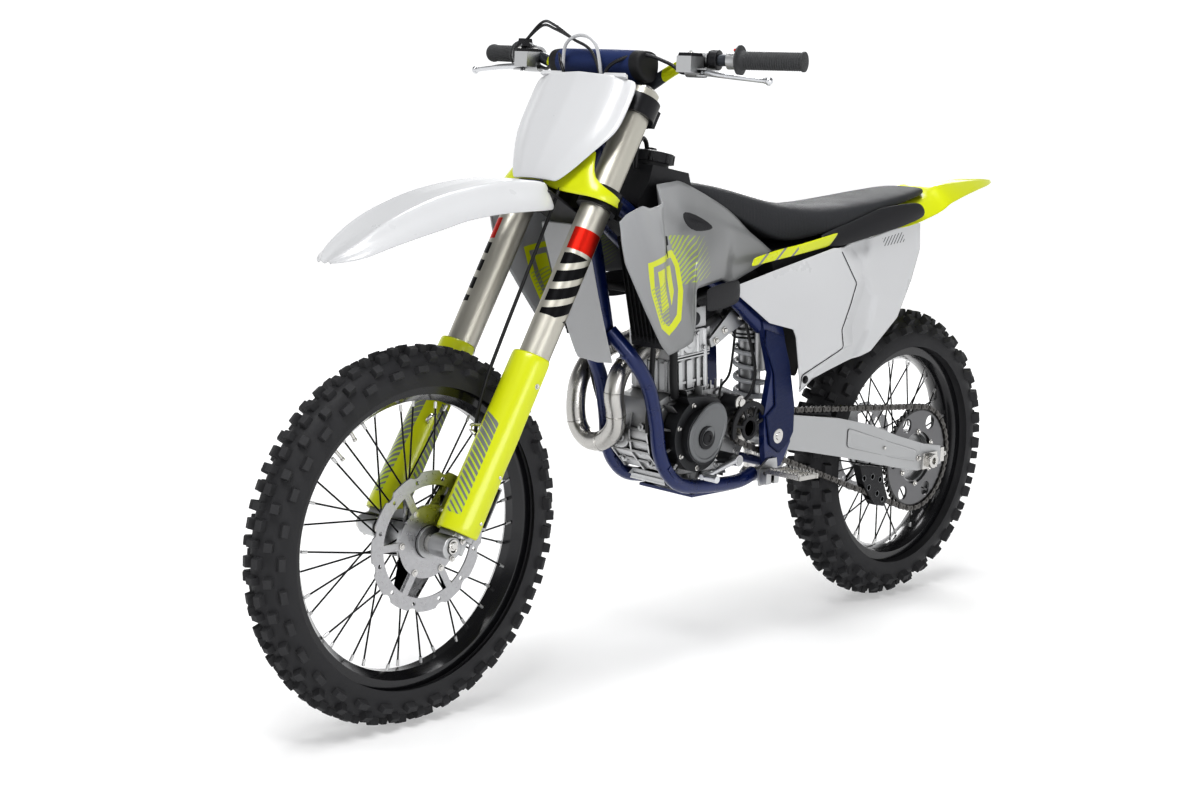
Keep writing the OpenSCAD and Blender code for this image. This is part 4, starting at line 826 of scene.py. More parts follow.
make("tank_vent_hose", b, rubber)

# ------------------------------------------------------------ bodywork
top = curve([(-188, 118, 838), (-110, 108, 888), (-36, 99, 938), (106, 92, 992), (160, 98, 995),
    (218, 108, 992)], 4)
top += curve([(232, 134, 958), (300, 156, 952), (345, 169, 958), (384, 177, 946), (408, 178, 930)], 4)
bot = [(-188, 118, 838), (-90, 121, 812), (2, 124, 790), (40, 134, 802), (152, 150, 792), (167, 156, 782),
    (170, 158, 740), (176, 160, 694), V((205, 163, 678)), (238, 166, 668), (262, 167, 690), (320, 172, 764),
    (385, 178, 852), (398, 178, 890), (408, 178, 930)]


def step(d, w):
    """Smooth step from 0 to 1 at d = 0, about 4 w wide."""
    return 1 / (1 + exp(-max(-40, min(40, d / w))))


def side(x, z, a, b):
    """Signed distance of (x, z) from the line a-b, positive on its left."""
    dx, dz = b[0] - a[0], b[1] - a[1]
    return (dx * (z - a[1]) - dz * (x - a[0])) / hypot(dx, dz)


def relief(g, f):
    """Moves every point of a sheet along Y by f(x, z)."""
    for r in g:
        for p in r:
            p.y += f(p.x, p.z)
    return g


def shroud_relief(x, z):
    """Pressed shape of a shroud, outward in mm."""
    # front blade: a flat facet ahead of a ridge that runs down to the lower tip
    d = side(x, z, (352, 905), (214, 700))
    h = 7 * step(-d, 4) - 9 * max(0, -d - 26) / 60
    # hollow that runs back from the port under the tank edge
    e = side(x, z, (206, 958), (-120, 872))
    h += 6 * step(e + 8, 3) * step(196 - x, 9)
    q = hypot((x - 150) / 74, (z - 912) / 40)
    h -= 13 * exp(-q * q)
    h += 7 * exp(-((x - 252) / 34) ** 2 - ((z - 880) / 56) ** 2)
    # soft crown over the middle of the panel
    h += 6 * exp(-((x - 60) / 90) ** 2 - ((z - 850) / 46) ** 2)
    return h


b = B().rings(relief(strip(top, bot, 64, 26, lambda a, c: 4 * sin(pi * c)), shroud_relief),
    closed=False).mirror()
make("shrouds_look", b, shroud_m, "chassis", ("shrouds",), sub=0, solid=3.2, sharp=60, slot="grey_plastic",
    offset=-1)
b = B()
duct = [[(122, 150, 792), (122, 152, 776), (118, 150, 752), (108, 140, 740)],
        [(60, 146, 800), (60, 150, 782), (58, 148, 752), (54, 138, 742)],
        [(9, 136, 803), (6, 140, 784), (0, 138, 762), (-2, 130, 752)],
        [(-6, 128, 800), (-8, 130, 784), (-8, 128, 764), (-8, 124, 756)]]
b.rings(duct, closed=False).mirror()
make("shroud_duct", b, blackp, sub=2, solid=4, sharp=70)
b = B()
lip = [(204, 934), (196, 945), (160, 938), (122, 920), (108, 908), (140, 905), (172, 904), (196, 914)]
cx_, cz_ = sum(p[0] for p in lip) / 8, sum(p[1] for p in lip) / 8
rim_ = [V((x, 112 + (992 - z) * .36 + (x - 100) * .06 + 9.5, z)) for x, z in lip]
ring2 = [V((cx_ + (p.x - cx_) * .8, p.y - 1, cz_ + (p.z - cz_) * .72)) for p in rim_]
ring3 = [V((cx_ + (p.x - cx_) * .2, p.y - 3, cz_ + (p.z - cz_) * .2)) for p in rim_]
b.rings([rim_, ring2, ring3], caps=False)
b.f.append(tuple(range(16, 24)))
b.mirror()
make("shroud_port", b, blackp, sub=1, solid=2, sharp=60)
st = B().rings(strip([(-60, 116, 842), (-130, 118, 856), (-207, 119, 866), (-340, 119, 888)],
    [(-48, 119, 824), (-120, 121, 834), (-187, 121, 842), (-308, 119, 858)], 14, 3, lambda a, c: 2),
    closed=False).mirror()
make("shroud_stripes", st, stripe_m, sub=1, solid=2.5)

# Side panel: seam behind its front part and ridge behind the scoop, as (z, x)
div = [(549, -225), (586, -227), (638, -362), (677, -353), (735, -381), (776, -398), (850, -338),
    (900, -330)]
ridge = [(590, -430), (602, -440), (664, -488), (740, -507), (802, -451), (850, -467), (900, -480)]


def at_z(line, z):
    """The x of a line of (z, x) points at height z."""
    for (z0, x0), (z1, x1) in zip(line, line[1:]):
        if z <= z1:
            return x0 + (x1 - x0) * max(0, (z - z0) / (z1 - z0))
    return line[-1][1]


def panel_relief(x, z):
    """Pressed shape of a side panel, outward in mm."""
    h = 5 * exp(-((x + 180) / 150) ** 2 - ((z - 745) / 60) ** 2)
    behind = at_z(div, z) - x
    h += 12 * max(0, min(1, -x / 340))
    h -= 7 * step(behind, 2.4) + 30 * max(0, min(1, behind / 80))
    h += 10 * step(at_z(ridge, z) - x, 4)
    # keeps the skin off the subframe tube behind it
    h += 9.5 * exp(-((x + 445) / 32) ** 2 - ((z - 826) / 27) ** 2)
    return h


tl = [(2, 122, 787), (-110, 120, 812), (-311, 118, 855), (-368, 118, 854), (-458, 118, 867),
    (-551, 116, 885), (-640, 113, 896), (-671, 111, 898)]
bl = [(2, 122, 775), (-108, 122, 706), (-186, 122, 688), (-200, 122, 668), (-225, 122, 552),
    (-236, 122, 549), (-350, 124, 582), (-495, 124, 618), (-590, 123, 688), (-642, 118, 770),
    (-673, 114, 838), (-671, 111, 898)]
left_skin = relief(strip(tl, bl, 200, 64, lambda a, c: 0), panel_relief)
b = B().rings(left_skin, closed=False)
tr = [flip(p) for p in tl]
br = [(2, -122, 775), (-50, -122, 748), (-108, -122, 729), (-225, -122, 729), (-330, -124, 736),
    (-500, -123, 778), (-640, -122, 813), (-673, -114, 838), (-671, -111, 898)]
b.rings(relief(strip(tr, br, 120, 24, lambda a, c: 0), lambda x, z: -panel_relief(x, z)), closed=False)
make("side_panels_look", b, panel_m, "chassis", ("side_panels",), sub=0, solid=3.0, sharp=60,
    slot="white_plastic", offset=0)
# The black tube along the seam is painted shade, standing for the shadow in the seam's gap and the shaded
# step above it; it lies on the skin's highest point nearby, so no stretch of it is buried
seam_shadow_line = []
for z in range(558, 850, 6):
    x = at_z(div, z) + 2
    seam_shadow_line.append(V((x, 0.9 + max(p.y for r in left_skin for p in r if hypot(p.x - x, p.z - z) < 6), z)))
b = B().tube(seam_shadow_line, 1.0, 8)
make("panel_seam_shadow", b, blackp)
b = B()
b.bolt((-243, 126, 576), LEFT, 6, 4)
b.bolt((-90, 124, 726), LEFT, 4, 3)
make("panel_bolts", b, blackm)

# Sections of the seat: x, half width, top, underside
secs = [(66, 38, 990, 977), (40, 43, 991, 969), (20, 47, 989, 960), (-43, 56, 981, 931),
    (-118, 66, 966, 897), (-160, 75, 957, 878), (-208, 84, 948, 862), (-304, 92, 940, 875),
    (-370, 94, 941, 890), (-434, 93, 945, 905), (-520, 89, 953, 921), (-603, 83, 962, 938),
    (-660, 75, 968, 948), (-700, 67, 973, 955), (-745, 50, 976, 961), (-766, 32, 970, 962)]
# One section in shares of its half width and height: right side up, the same down the left, then the base
flank = [(1, 0.12), (1, .45), (.95, .72), (.80, .90), (.5, .98)]
section = [(-.97, 0)] + [(-y, z) for y, z in flank] + [(0, 1)] + flank[::-1] + [(.97, 0), (.4, .02),
    (-.4, .02)]
rg = [[(x, y * w, zb + z * (zt - zb)) for y, z in section] for x, w, zt, zb in secs]
o = make("seat_look", B().rings(rg), seat_m, "chassis", ("seat",), sub=2, sharp=80, slot="seat_cover")

# Sections of the rear fender, in the same order
rs = [(-560, 100, 899, 885), (-600, 101, 915, 888), (-640, 102, 933, 893), (-700, 100, 945, 907),
    (-750, 98, 953, 920), (-772, 97, 963, 929), (-790, 95, 975, 938), (-825, 89, 978, 945),
    (-860, 82, 980, 952), (-910, 69, 981, 959), (-960, 56, 983, 966), (-1010, 41, 984, 971),
    (-1050, 28, 984, 975), (-1080, 14, 984, 979), (-1094, 6, 983, 980)]


def rear_rise(q, x):
    """As front_rise, with a small crest behind the seat."""
    h = 1 - .06 * q if q < .5 else .97 - .97 * ((q - .5) / .5) ** 1.5
    return h, 3.5 * exp(-((q - .5) / .1) ** 2) * (x < -780)


make("rear_fender_look", crowned(rs, rear_rise), rear_m, "chassis", ("rear_fender",), sub=2, solid=3.0,
    sharp=70, slot="yellow_plastic")
b = B().rings(strip([(-300, 98, 880), (-350, 98, 894), (-410, 97, 908), (-514, 95, 935), (-590, 98, 943),
    (-660, 100, 946), (-672, 101, 938)], [(-302, 116, 856), (-350, 118, 856), (-412, 118, 866),
    (-500, 117, 880), (-573, 115, 892), (-650, 108, 906), (-676, 104, 914)], 20, 5,
    lambda a, c: 5 * sin(pi * c)), closed=False).mirror()
make("under_seat_cover", b, blackp, sub=1, solid=3, sharp=60)
clean("subframe", blackp, 3)
clean("fuel_tank", blackp, 7)
clean("fuel_cap", blackp, 1.5)
b = B()
cap_up = V((-sin(.159), 0, cos(.159)))
b.turn(V((144, 0, 1021)) + cap_up * 27.5, cap_up, [(0, 36), (2, 36), (3.5, 30), (3.6, 12), (9, 11),
    (10, 8)], 32)
make("cap_top", b, rubber, "fuel_cap_body")

# ------------------------------------------------------------ frame and engine
clean("main_frame", frame_m, 2)
rl = [(256, 20, 700), (225, 55, 648), (186, 66, 590), (163, 70.5, 515), (150, 73, 450), (122, 75, 404),
    (72, 75, 374), (-30, 75, 364), (-100, 76, 364), (-144, 78.7, 377)]
b = B().tube(curve(rl, 6), 15, 20, up=LEFT).mirror()
b.tube([(326, 0, 962), (315, 0, 920), (256, 0, 694), (250, 0, 672)], lambda t: 24 if t < .8 else 21, 24,
    up=LEFT)
b.box((-15, 0, 349), *sides(60, 74, 3), 1)
for sg in (-1, 1):
    b.turn((232, sg * 48, 660), (-31, sg * 7, -52), [(0, 16.5), (4, 17.5), (8, 16.5)], 20)
    b.box((128, sg * 74, 412), (9, 0, 10), (0, 18, 0), (-4, 0, 4), .9)
make("frame_cradle_look", b, frame_m, "chassis", ("frame_cradle",), slot="frame_paint", sharp=50)
clean("frame_guards", guard_m, 2.5)
clean("brackets", satin, 2)
clean("crankcase", cast, 7)
clean("engine_top_end", cast, 4)
clean("engine_covers", dark, 5)
clean("radiators", blackp, 1.2)
# Bosses and bolts round the crankcase, drawn in from its outline
b = B()
for x, z in ((158, 500), (150, 455), (126, 418), (84, 398), (0, 394), (-60, 394), (-118, 412), (-132, 470),
        (-112, 536), (-58, 560), (140, 545)):
    x, z = x - copysign(8, x) * (x != 0), z - copysign(9, z - 480)
    for sg in (-1, 1):
        b.turn((x, sg * 40, z), (0, sg, 0), [(0, 9), (15, 9), (16, 8)], 16)
        b.bolt((x, sg * 56, z), (0, sg, 0), 4, 4)
TILT = radians(5)


def lean(x, y, z):
    """Point of the cylinder, which leans forward: z runs up from its foot."""
    return V((46 + x * cos(TILT) + z * sin(TILT), y, 567 - x * sin(TILT) + z * cos(TILT)))


def along(x, y, z):
    """Direction in the cylinder's own axes."""
    return lean(x, y, z) - lean(0, 0, 0)


# Cylinder and head: fins, studs, covers and seams
for sg in (-1, 1):
    for x, w in ((-44, 7), (-22, 5), (4, 9), (32, 6), (50, 4)):
        b.box(lean(x, sg * 55, 36), along(w, 0, 0), (0, 4, 0), along(0, 0, 29), .86)
    b.box(lean(-4, sg * 54, 20), along(52, 0, 0), (0, 3, 0), (0, 0, 3), .9)
for y in (-34, 0, 34):
    b.box(lean(57, y, 36), (4, 0, 0), (0, 7, 0), along(0, 0, 28), .86)
for sg in (-1, 1):
    for x in (-46, 46):
        b.turn(lean(x, sg * 52, 2), along(0, 0, 1), [(0, 8), (122, 8), (124, 6)], 14)
    b.turn(lean(4, sg * 56, 100), (0, sg, 0), [(0, 21), (3, 21), (4, 19), (4.1, 10), (6, 9)], 24)
    for x, z in ((-40, 86), (40, 86), (-20, 118), (28, 118)):
        b.bolt(lean(x, sg * 57, z), (0, sg, 0), 4.2, 4)
for i in range(6):
    b.box((-52 + 18 * i, 55, 575), *sides(1.8, 3, 9), .8)
for x, z in ((118, 452), (132, 500), (100, 545)):
    b.box((x, 55, z), *sides(14, 2.4, 2.4), .8)
for z, k in ((3, 1.04), (70, 1.05), (76, 1.05), (124, 1.03)):
    b.box(lean(0, 0, z), along(54, 0, 0) * k, (0, 56 * k, 0), (0, 0, 1.6), 1)
for x in (-44, -24, 24, 44):
    for sg in (-1, 1):
        b.turn(lean(x, sg * 53, 78), along(0, 0, 1), [(0, 6.5), (44, 6.5), (46, 5)], 14)
for y in (-40, -14, 14, 40):
    b.turn(lean(55, y, 6), along(0, 0, 1), [(0, 5.5), (62, 5.5), (64, 4)], 12)
for i in range(12):
    q = 2 * pi * i / 12 + .2
    if sin(q) > -.9:
        out, turn = V((cos(q), 0, sin(q))), V((-sin(q), 0, cos(q)))
        b.box(V((50, 66, 480)) + out * 84, out * 15, (0, 13, 0), turn * 2.2, .75)
# Crankcase front: cross ribs on its outline, uprights and bosses
face = [(158, 520), (164, 485), (152, 442), (112, 404)]
for z in (424, 446, 468, 494):
    k = [i for i in range(3) if face[i][1] >= z >= face[i + 1][1]][0]
    x = face[k][0] + (face[k + 1][0] - face[k][0]) * (face[k][1] - z) / (face[k][1] - face[k + 1][1])
    b.box((x - 2, 0, z), *sides(8, 55, 2.4), .85)
for y in (-52, 2, 52):
    corners = ((4, -2.2), (4, 2.2), (-8, 2.2), (-8, -2.2))
    b.rings([[(x + i, y + k, z) for i, k in corners]
        for x, z in ((159, 524), (165, 486), (153, 441), (113, 401))])
for y, z, x in ((-34, 500, 162), (34, 500, 162), (-34, 455, 156), (36, 422, 131), (-36, 422, 131)):
    b.turn((x - 8, y, z), AHEAD, [(0, 8), (14, 8), (15, 7)], 16)
    b.bolt((x + 6, y, z), AHEAD, 4, 4)
b.turn((150, -22, 470), (1, 0, .05), [(0, 22), (13, 22), (15, 19), (15.4, 9), (18, 8)], 28)
b.box((4, 0, 386), *sides(98, 46, 9), .93)
for x in range(-80, 101, 20):
    b.box((x, 0, 379), *sides(1.6, 50, 6), .9)
for x, z in ((96, 560), (60, 562), (-40, 560), (140, 470), (110, 430)):
    b.box((x, 56, z), (12, 0, -4), (0, 5, 0), (1.2, 0, 3), .8)
for x in (96, 40, -10, -52):
    b.box((x, 0, 388), *sides(2.4, 58, 7), .8)
b.turn((138, 24, 462), (1, 0, .1), [(0, 26), (12, 26), (14, 23), (14.4, 12), (17, 11)], 28)
for i in range(3):
    q = 2 * pi * i / 3 + .5
    b.bolt(V((151, 24 + 20 * cos(q), 463 + 20 * sin(q))), (1, 0, .1), 4, 4)
make("engine_ribs", b, cast, bev=.8, sharp=35)
b = B()
b.box(lean(0, 0, 172), along(50, 0, 0), (0, 46, 0), (0, 0, 5), .9)
for x in (-30, 0, 30):
    b.box(lean(x, 0, 178), *sides(4, 40, 4), .8)
b.turn(lean(-14, 54, 148), LEFT, [(0, 14), (6, 14), (7, 12)], 20)
b.turn(lean(30, 54, 148), LEFT, [(0, 10), (5, 10), (6, 8)], 20)
b.tube(curve([(92, -10, 772), (110, -20, 800), (60, -30, 800)], 5), 4, 8)
b.rings([[V((x, y, z)) for y in (62, 66)] + [V((x + 1, y, z - 1)) for y in (66, 62)]
    for x, z in ((91, 769), (70, 778))])
make("cam_cover_details", b, dark, bev=1)
b = B()
# Radius, steps round and route of each hose or lead
for r, n, *route in (
        (10, 14, (120, 66, 748), (84, 74, 760), (40, 76, 768), (-6, 72, 760), (-22, 60, 730)),
        (8.5, 12, (100, 62, 560), (120, 74, 600), (128, 76, 660), (150, 74, 700), (190, 80, 720)),
        (3.4, 8, (-66, 98, 540), (-96, 98, 556), (-118, 90, 600), (-120, 70, 660), (-80, 66, 760)),
        (2.6, 8, (0, 96, 520), (-20, 80, 570), (-60, 70, 600), (-80, 62, 690)),
        (5.5, 12, (150, 48, 470), (166, 52, 500), (168, 56, 560), (172, 62, 640), (180, 70, 690)),
        (7, 12, (-30, 58, 742), (-64, 60, 748), (-110, 50, 736), (-150, 34, 742)),
        (5, 10, (18, 52, 756), (0, 66, 782), (-40, 66, 800))):
    b.tube(curve(route), r, n)
make("engine_hoses", b, rubber)
b = B()
b.tube(curve([(-14, 0, 718), (-60, 0, 738), (-120, 0, 762), (-176, 0, 790)], 6),
    lambda t: 27 + 4 * (t > .35) + 9 * t, 24, up=LEFT)
b.box((-70, 0, 742), (16, 0, 6), (0, 38, 0), (-9, 0, 26), .85)
b.turn((-70, 38, 742), LEFT, [(0, 15), (9, 15), (10, 12), (16, 11), (17, 8)], 20)
make("intake_tract", b, blackp, bev=1.5, sharp=40)
# Mud flap: x at its sides, belly, half width, z of each row
b = B()
flap_rows = ((-302, 6, 58, 566), (-312, 8, 60, 620), (-322, 8, 60, 690), (-336, 6, 60, 790))
flap = [[(x - belly * (1 - q * q), q * w, z) for x, belly, w, z in flap_rows] for q in SPAN]
b.rings(flap, closed=False)
make("mud_flap", b, rubber, sub=1, solid=3, sharp=70)
b = B()
arc = []
for i in range(25):
    q = radians(-20 + 190 * i / 24)
    c_, s_ = cos(q), sin(q)
    arc.append([V((-95 + r * c_, y, 482 + r * s_)) for r, y in ((46, 101), (58, 101), (58, 106),
        (46, 106))])
b.rings(arc)
for q in (10, 62, 114, 160):
    c_, s_ = cos(radians(q)), sin(radians(q))
    b.box((-95 + 36 * c_, 103.5, 482 + 36 * s_), V((c_, 0, s_)) * 13, V((-s_, 0, c_)) * 3.4, (0, 2, 0), .9)
b.turn((-95, 100, 482), LEFT, [(0, 25), (4, 25), (5, 23), (5, 17), (0, 17)], 28)
b.rings([[V((x, y, z)) for y in (90, 104)] + [V((x - 3, y, z + 7)) for y in (104, 90)]
    for x, z in ((-146, 500), (-190, 560), (-222, 590))])
make("sprocket_guard", b, blackp, bev=.8, sharp=40)
b = B()
for y in (58, -58):
    b.box((6, y, 772), (62, 0, -16), (0, 10, 0), (10, 0, 34), .82)
b.box((70, 60, 716), (16, 0, 2), (0, 9, 0), (-4, 0, 30), .85)
make("tank_lobes", b, blackp, sub=2, sharp=80)
# Ignition cover: rim, teardrop insert, plug and bolts
b = B()
ring = []
for j in range(40):
    q = 2 * pi * j / 40
    tail = max(0, cos(q - 2.2)) ** 3 * 26
    ring.append((50 + (50 + tail) * cos(q), 478 + (50 + tail) * sin(q)))
layers = ((106, 1.04), (109, 1.04), (111, 1.0), (111.6, .9), (110.2, .86), (110.2, .34), (113, .32),
    (113.4, .30))
b.rings([[(50 + (x - 50) * k, y, 478 + (z - 478) * k) for x, z in ring] for y, k in layers])
make("ignition_insert", b, gun, sharp=30)
b = B()
b.turn((50, 113, 478), LEFT, [(0, 15), (2.5, 15), (3.5, 13), (3.6, 8), (1.8, 7.5)], 24)
b.turn((50, 111, 478), LEFT, [(0, 24), (1.2, 24), (1.8, 22.6), (1.8, 17)], 30)
make("ignition_plug", b, blackm, sharp=30)
b = B()
# Cover bolts: count, first angle, middle of their circle, its radius, bolt radius and height
for n, first, (x, y, z), far, r, h in ((7, .3, (50, 91.5, 480), 68, 3.6, 4),
                                       (8, 0, (-8, -91.5, 482), 71, 4.4, 5),
                                       (6, .4, (-8, -115.5, 482), 54, 3.6, 4)):
    for i in range(n):
        q = 2 * pi * i / n + first
        b.bolt((x + far * cos(q), y, z + far * sin(q)), (0, copysign(1, y), 0), r, h)
b.bolt((-95, 90, 482), LEFT, 11, 8)
b.turn((-66, 95, 538), LEFT, [(0, 15), (3, 15), (5, 9), (9, 9), (10, 6)], 20)
for sg in (1, -1):
    b.turn((-180, sg * 108.2, 458), (0, sg, 0), [(0, 17), (4, 17), (5.5, 15), (5.6, 9), (8, 8)], 24)
for x, z in ((-40, 688), (-88, 712), (-14, 668)):
    for sg in (1, -1):
        b.bolt((x, sg * 66, z), (0, sg, 0), 5, 5)
make("engine_bolts", b, bolt_m)

hp = [(114, 0, 656), (150, 0, 645), (196, 0, 614), (214, 0, 568), (204, -2, 530), (196, -10, 496),
    (193, -42, 464), (195, -82, 459), (198, -112, 484), (200, -120, 530), (186, -124, 582),
    (140, -132, 622), (60, -134, 646), (-40, -134, 668), (-120, -134, 692), (-200, -134, 694),
    (-258, -131, 672), (-302, -122, 656), (-325, -118.5, 656.5), (-343, -118, 661)]
path = curve(hp, 8)
b = B().tube(path, 20, 24, up=LEFT)
for k in (14, 24, 34, 50, 66, 92, 108):
    d = (path[k + 1] - path[k]).normalized()
    b.turn(path[k] - d * 1.5, d, [(0, 20), (.8, 21.2), (2.2, 21.2), (3, 20)], 24)
b.turn((112, 0, 657), (1, 0, -.3), [(0, 30), (5, 30), (6, 27), (6.5, 22), (14, 21.5)], 28)
make("exhaust_header_look", b, steel, "chassis", ("exhaust_header",), slot="steel")
s0, s1 = V((-344, -118, 661)), V((-640, -124, 748))
d = (s1 - s0).normalized()
b = B()
L = (s1 - s0).length
across = d.cross(V(LEFT))
turns = [2 * pi * j / 36 for j in range(36)]
rg = []
# Distance along the silencer and share of its full section
for h, k in ((0, .5), (2, .62), (34, .94), (40, .98), (46, 1), (250, 1.0), (262, 1.0), (L - 22, .96),
        (L - 6, .82), (L, .60), (L + .5, .42), (L - 20, .40)):
    rg.append([s0 + d * h + V(LEFT) * 44 * k * cos(w) + across * 46 * k * sin(w) for w in turns])
b.rings(rg)
make("silencer_look", b, satin, "chassis", ("silencer",), sharp=35, slot="alloy")
b = B()
for h in (44, 256):
    b.turn(s0 + d * h, d, [(0, 46.2), (1, 47.2), (7, 47.2), (8, 46.2)], 36)
b.box(s0 + d * 120 + V((0, 20, 44)), d * 30, (0, 8, 0), (0, 0, 10), .8)
make("silencer_bands", b, blackm, sharp=35)

# ------------------------------------------------------------ pegs, foot levers, swingarm, shock
for nd, mt, bv in (("footpeg_left", steel, 1.0), ("footpeg_right", steel, 1.0), ("shift_lever", alu, 1.5),
        ("brake_pedal", alu, 1.5), ("rear_axle", bolt_m, 1.2), ("rear_caliper", satin, 4),
        ("chain_guides", blackp, 2.0), ("swingarm", arm_m, 7), ("shock_body", satin, 2),
        ("shock_rod", bolt_m, 1.5), ("shock_rocker", satin, 2.5)):
    clean(nd, mt, bv)
for sg, body in ((1, "footpeg_left_body"), (-1, "footpeg_right_body")):
    b = B()
    for y in range(0, 80, 9):
        for x in (-171.5, -118.5):
            b.box(V((x, sg * (146 + y), 399)), *sides(2.2, 2.6, 3), .4)
    for x in (-160, -145, -130):
        b.box((x, sg * 225.5, 399), *sides(2.6, 2.2, 3), .4)
    make("peg_teeth_" + body, b, steel, body)
b = B()
for sg in (-1, 1):
    upper = [(-420, sg * 117.4, 452), (-600, sg * 119.6, 398), (-690, sg * 119.6, 372)]
    lower = [(-420, sg * 117.4, 408), (-600, sg * 119.6, 364), (-690, sg * 119.6, 346)]
    b.rings(strip(upper, lower, 16, 4,
        lambda a, c: sg * (1.6 - 3.4 * sin(pi * c) ** .5 * (0.06 < a < .94))), closed=False)
make("arm_recess", b, arm_m, "rear_arm", sub=1, solid=1.5, sharp=50)
b = B()
for sg in (-1, 1):
    b.box((-742.5, sg * 121, 343), *sides(30, 3.5, 19), .9)
    b.box((-800, sg * 110, 350), *sides(8, 9, 17), .85)
    b.turn((-788, sg * 110, 350), (-1, 0, 0), [(0, 5), (24, 5), (24.1, 8), (30, 8)], 6)
    b.bolt((-700, sg * 119, 352), (0, sg, 0), 5, 5)
    b.bolt((-560, sg * 118.5, 392), (0, sg, 0), 4, 4)
make("arm_blocks", b, bolt_m, "rear_arm", bev=1.2)
b = B()
for x, z in ((-528, 320), (-560, 320), (-548, 296), (-582, 278), (-590, 310), (-604, 262)):
    b.turn((x, 92.5, z), LEFT, [(0, 8), (1, 8), (1.2, 6.5), (.5, 6)], 6)
make("guide_holes", b, gun, "rear_arm")
T, E = V((-193, 0, 728)), V((-232, 0, 352))  # the shock's upper and lower eye
sd = (E - T).normalized()
sx = sd.cross(V(LEFT)).normalized()


def round_shock(h, q, r):
    """Point h down the shock, at angle q and radius r round it."""
    return T + sd * h + (sx * cos(q) + V(LEFT) * sin(q)) * r


coil = [round_shock(70 + 216 * i / 168, i * pi / 12, 31) for i in range(169)]
b = B().tube(coil, 5.4, 12, up=tuple(sd))
make("shock_spring_look", b, spring_m, None, ("shock_spring",), slot="spring_white",
    blend=("shock_upper", "shock_lower", (T + sd * 66) * .001, (T + sd * 292) * .001))
b = B()
for h in (60, 68):
    b.tube([round_shock(h, i * pi / 20, 33.5) for i in range(41)], 3.4, 12)
b.turn(T + sd * 36 + V((14, 53, 8)), sd, [(0, 16), (2, 20.5), (10, 20.5), (11, 20)], 28)
make("shock_collars", b, blackm, "shock_upper")

# Drive chain: plates and rollers at the true pitch, wrapped round both sprockets
CHAIN_Y, CHAIN_PITCH = 82.0, 15.875
cf, cr = V((-95, 0, 482)), RA  # middles of the two sprockets
rf, rr = 33.17, 121.36  # their pitch radii
D = (cr - cf).length
e = (cr - cf) / D
up_ = V((e.z, 0, -e.x))
tau = asin((rr - rf) / D)
top_out, low_out = up_ * cos(tau) - e * sin(tau), -up_ * cos(tau) - e * sin(tau)
top_at, low_at = atan2(top_out.z, top_out.x), atan2(low_out.z, low_out.x)
wrap = (low_at - top_at) % (2 * pi)  # the share of the wheel's sprocket that the chain covers


def arc_at(c, q, r):
    """Point at angle q and radius r round c, in the side view."""
    return c + V((cos(q), 0, sin(q))) * r


loop = [arc_at(cf, top_at - (2 * pi - wrap) * k / 16, rf) for k in range(17)]
loop += [arc_at(cr, low_at - wrap * k / 40, rr) for k in range(41)]
loop.append(loop[0])
total = sum((loop[i + 1] - loop[i]).length for i in range(len(loop) - 1))
nl = 2 * round(total / CHAIN_PITCH / 2)
pts = even(loop, nl)
b = B()
for i in range(nl):
    p, q = pts[i], pts[i + 1]
    t = (q - p).normalized()
    w = V((-t.z, 0, t.x))
    rim = []
    for end, first, waist in ((p, pi / 2, -4.6), (q, -pi / 2, 4.6)):
        for k in range(7):
            z = first + pi * k / 6
            rim.append(end + (t * cos(z) + w * sin(z)) * 6.4)
        rim.append((p + q) / 2 + w * waist)
    off = 4.3 if i % 2 else 6.2
    for sg in (-1, 1):
        y = CHAIN_Y + sg * off
        b.rings([[r + V((0, y - .8, 0)) for r in rim], [r + V((0, y + .8, 0)) for r in rim]])
    b.turn(p + V((0, CHAIN_Y - 8.2, 0)), LEFT, [(0, 2.6), (16.4, 2.6)], 8)
    b.turn(p + V((0, CHAIN_Y - 3.3, 0)), LEFT, [(0, 5), (6.6, 5)], 10)
make("chain_look", b, chain_m, None, ("chain",), slot="chain_steel", sharp=35,
    blend=("chassis", "rear_arm", (-0.12, 0, 0.458), (-0.27, 0, 0.458)))


# ------------------------------------------------------------ studio
def settings(node, **values):
    """Sets a node's inputs; an underscore stands for a space."""
    for k, v in values.items():
        node.inputs[k.replace("_", " ")].default_value = v


paper = bpy.data.materials.new("paper")
paper.use_nodes = True
ft = paper.node_tree
shader = ft.nodes["Principled BSDF"]
settings(shader, Base_Color=(0.70, 0.70, 0.702, 1), Roughness=0.95, Specular_IOR_Level=0.05,
         Emission_Color=(1, 1, 1, 1))
place, far = ft.nodes.new("ShaderNodeTexCoord"), ft.nodes.new("ShaderNodeVectorMath")
far.operation = "LENGTH"
glow = ft.nodes.new("ShaderNodeMapRange")
glow.interpolation_type = "SMOOTHSTEP"
settings(glow, From_Min=1.1, From_Max=5.5, To_Min=0.30, To_Max=0.70)
ft.links.new(place.outputs["Object"], far.inputs[0])
ft.links.new(far.outputs["Value"], glow.inputs["Value"])
ft.links.new(glow.outputs[0], shader.inputs["Emission Strength"])
me = bpy.data.meshes.new("floor")
me.from_pydata([(-40, -40, -0.001), (40, -40, -0.001), (40, 40, -0.001), (-40, 40, -0.001)], [],
    [(0, 1, 2, 3)])
floor = bpy.data.objects.new("floor", me)
me.materials.append(paper)
sc.collection.objects.link(floor)
w = bpy.data.worlds.new("studio")
sc.world = w
sc.view_settings.view_transform = "Standard"
sc.view_settings.look = "Medium High Contrast"
w.use_nodes = True
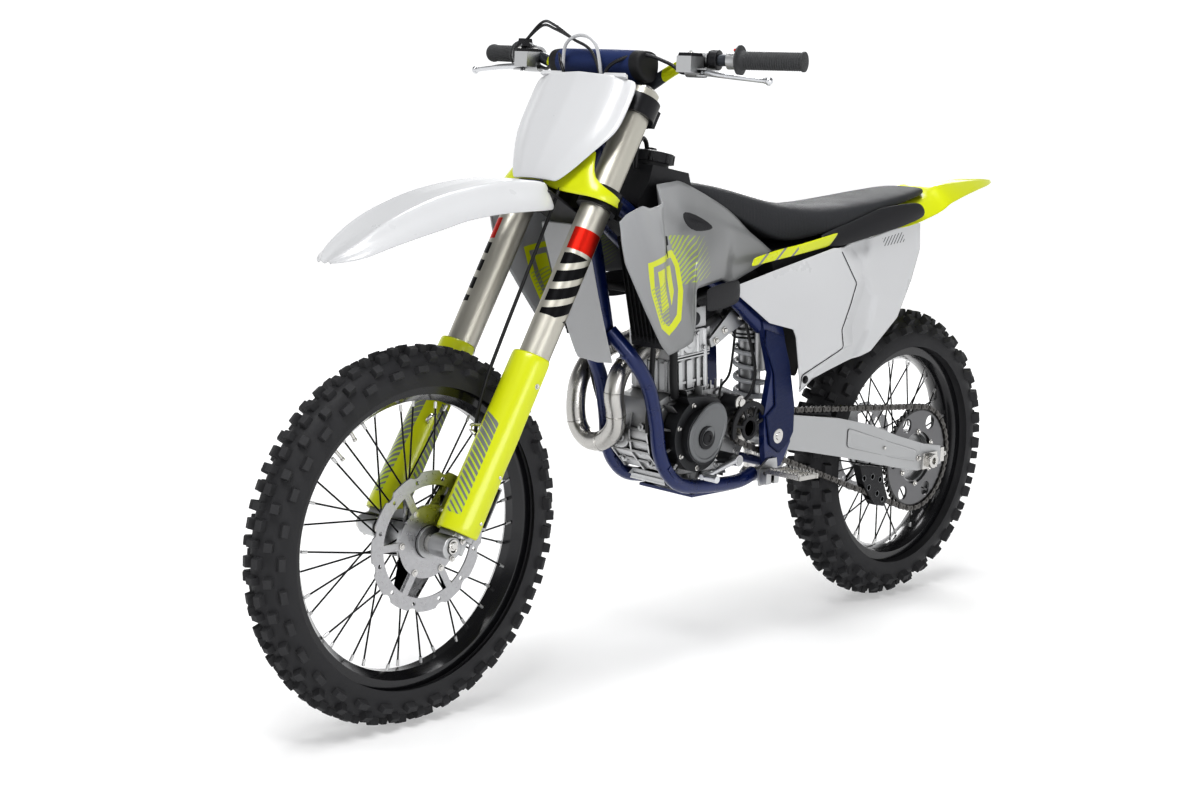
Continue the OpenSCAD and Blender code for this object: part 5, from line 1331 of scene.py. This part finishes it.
wt = w.node_tree
geo = wt.nodes.new("ShaderNodeTexCoord")
xyz = wt.nodes.new("ShaderNodeSeparateXYZ")
ramp = wt.nodes.new("ShaderNodeMapRange")
ramp.interpolation_type = "SMOOTHSTEP"
settings(ramp, From_Min=0.15, From_Max=0.46, To_Min=0.94, To_Max=0.15)
wt.links.new(geo.outputs["Generated"], xyz.inputs[0])
wt.links.new(xyz.outputs[2], ramp.inputs["Value"])
wt.links.new(ramp.outputs[0], wt.nodes["Background"].inputs[1])
wt.nodes["Background"].inputs[0].default_value = (0.985, 0.99, 1.0, 1)


def lamp(name, loc, aim, size, power, sy):
    """Rectangular lamp of size by sy metres at loc, pointing at aim."""
    area = bpy.data.lights.new(name, "AREA")
    area.energy, area.size, area.shape, area.size_y = power, size, "RECTANGLE", sy
    o = bpy.data.objects.new(name, area)
    o.location = loc
    o.rotation_euler = (V(aim) - V(loc)).to_track_quat("-Z", "Y").to_euler()
    sc.collection.objects.link(o)


lamp("key", (2.2, 0.9, 4.0), (0, 0, .5), 1.7, 88, 1.3)
lamp("left", (1.5, 3.6, 1.5), (-.1, 0, .6), 1.8, 27, 1.0)
lamp("rim", (-3.4, -2.6, 2.8), (0, 0, .7), 2.0, 60, 1.4)
lamp("top", (-0.5, -0.2, 3.8), (-.1, 0, 0), 2.2, 58, 0.9)

# Camera as solved from the wheels: heading, height above level and roll
az, el, ro = radians(133.878), radians(9.568), radians(2.512)
back = V((sin(az) * cos(el), -cos(az) * cos(el), sin(el)))
level = V(UP).cross(back).normalized()
upright = back.cross(level)
cam = bpy.data.cameras.new("camera")
cam.lens, cam.sensor_width = 56.03, 36
co = bpy.data.objects.new("camera", cam)
sc.collection.objects.link(co)
mx = Matrix((level * cos(ro) + upright * sin(ro), upright * cos(ro) - level * sin(ro), back))
mx = mx.transposed().to_4x4()
mx.translation = V((2.89780, 2.54279, 1.17647))  # the camera's place, in metres
co.matrix_world = mx
sc.camera = co
sc.render.engine = "CYCLES"
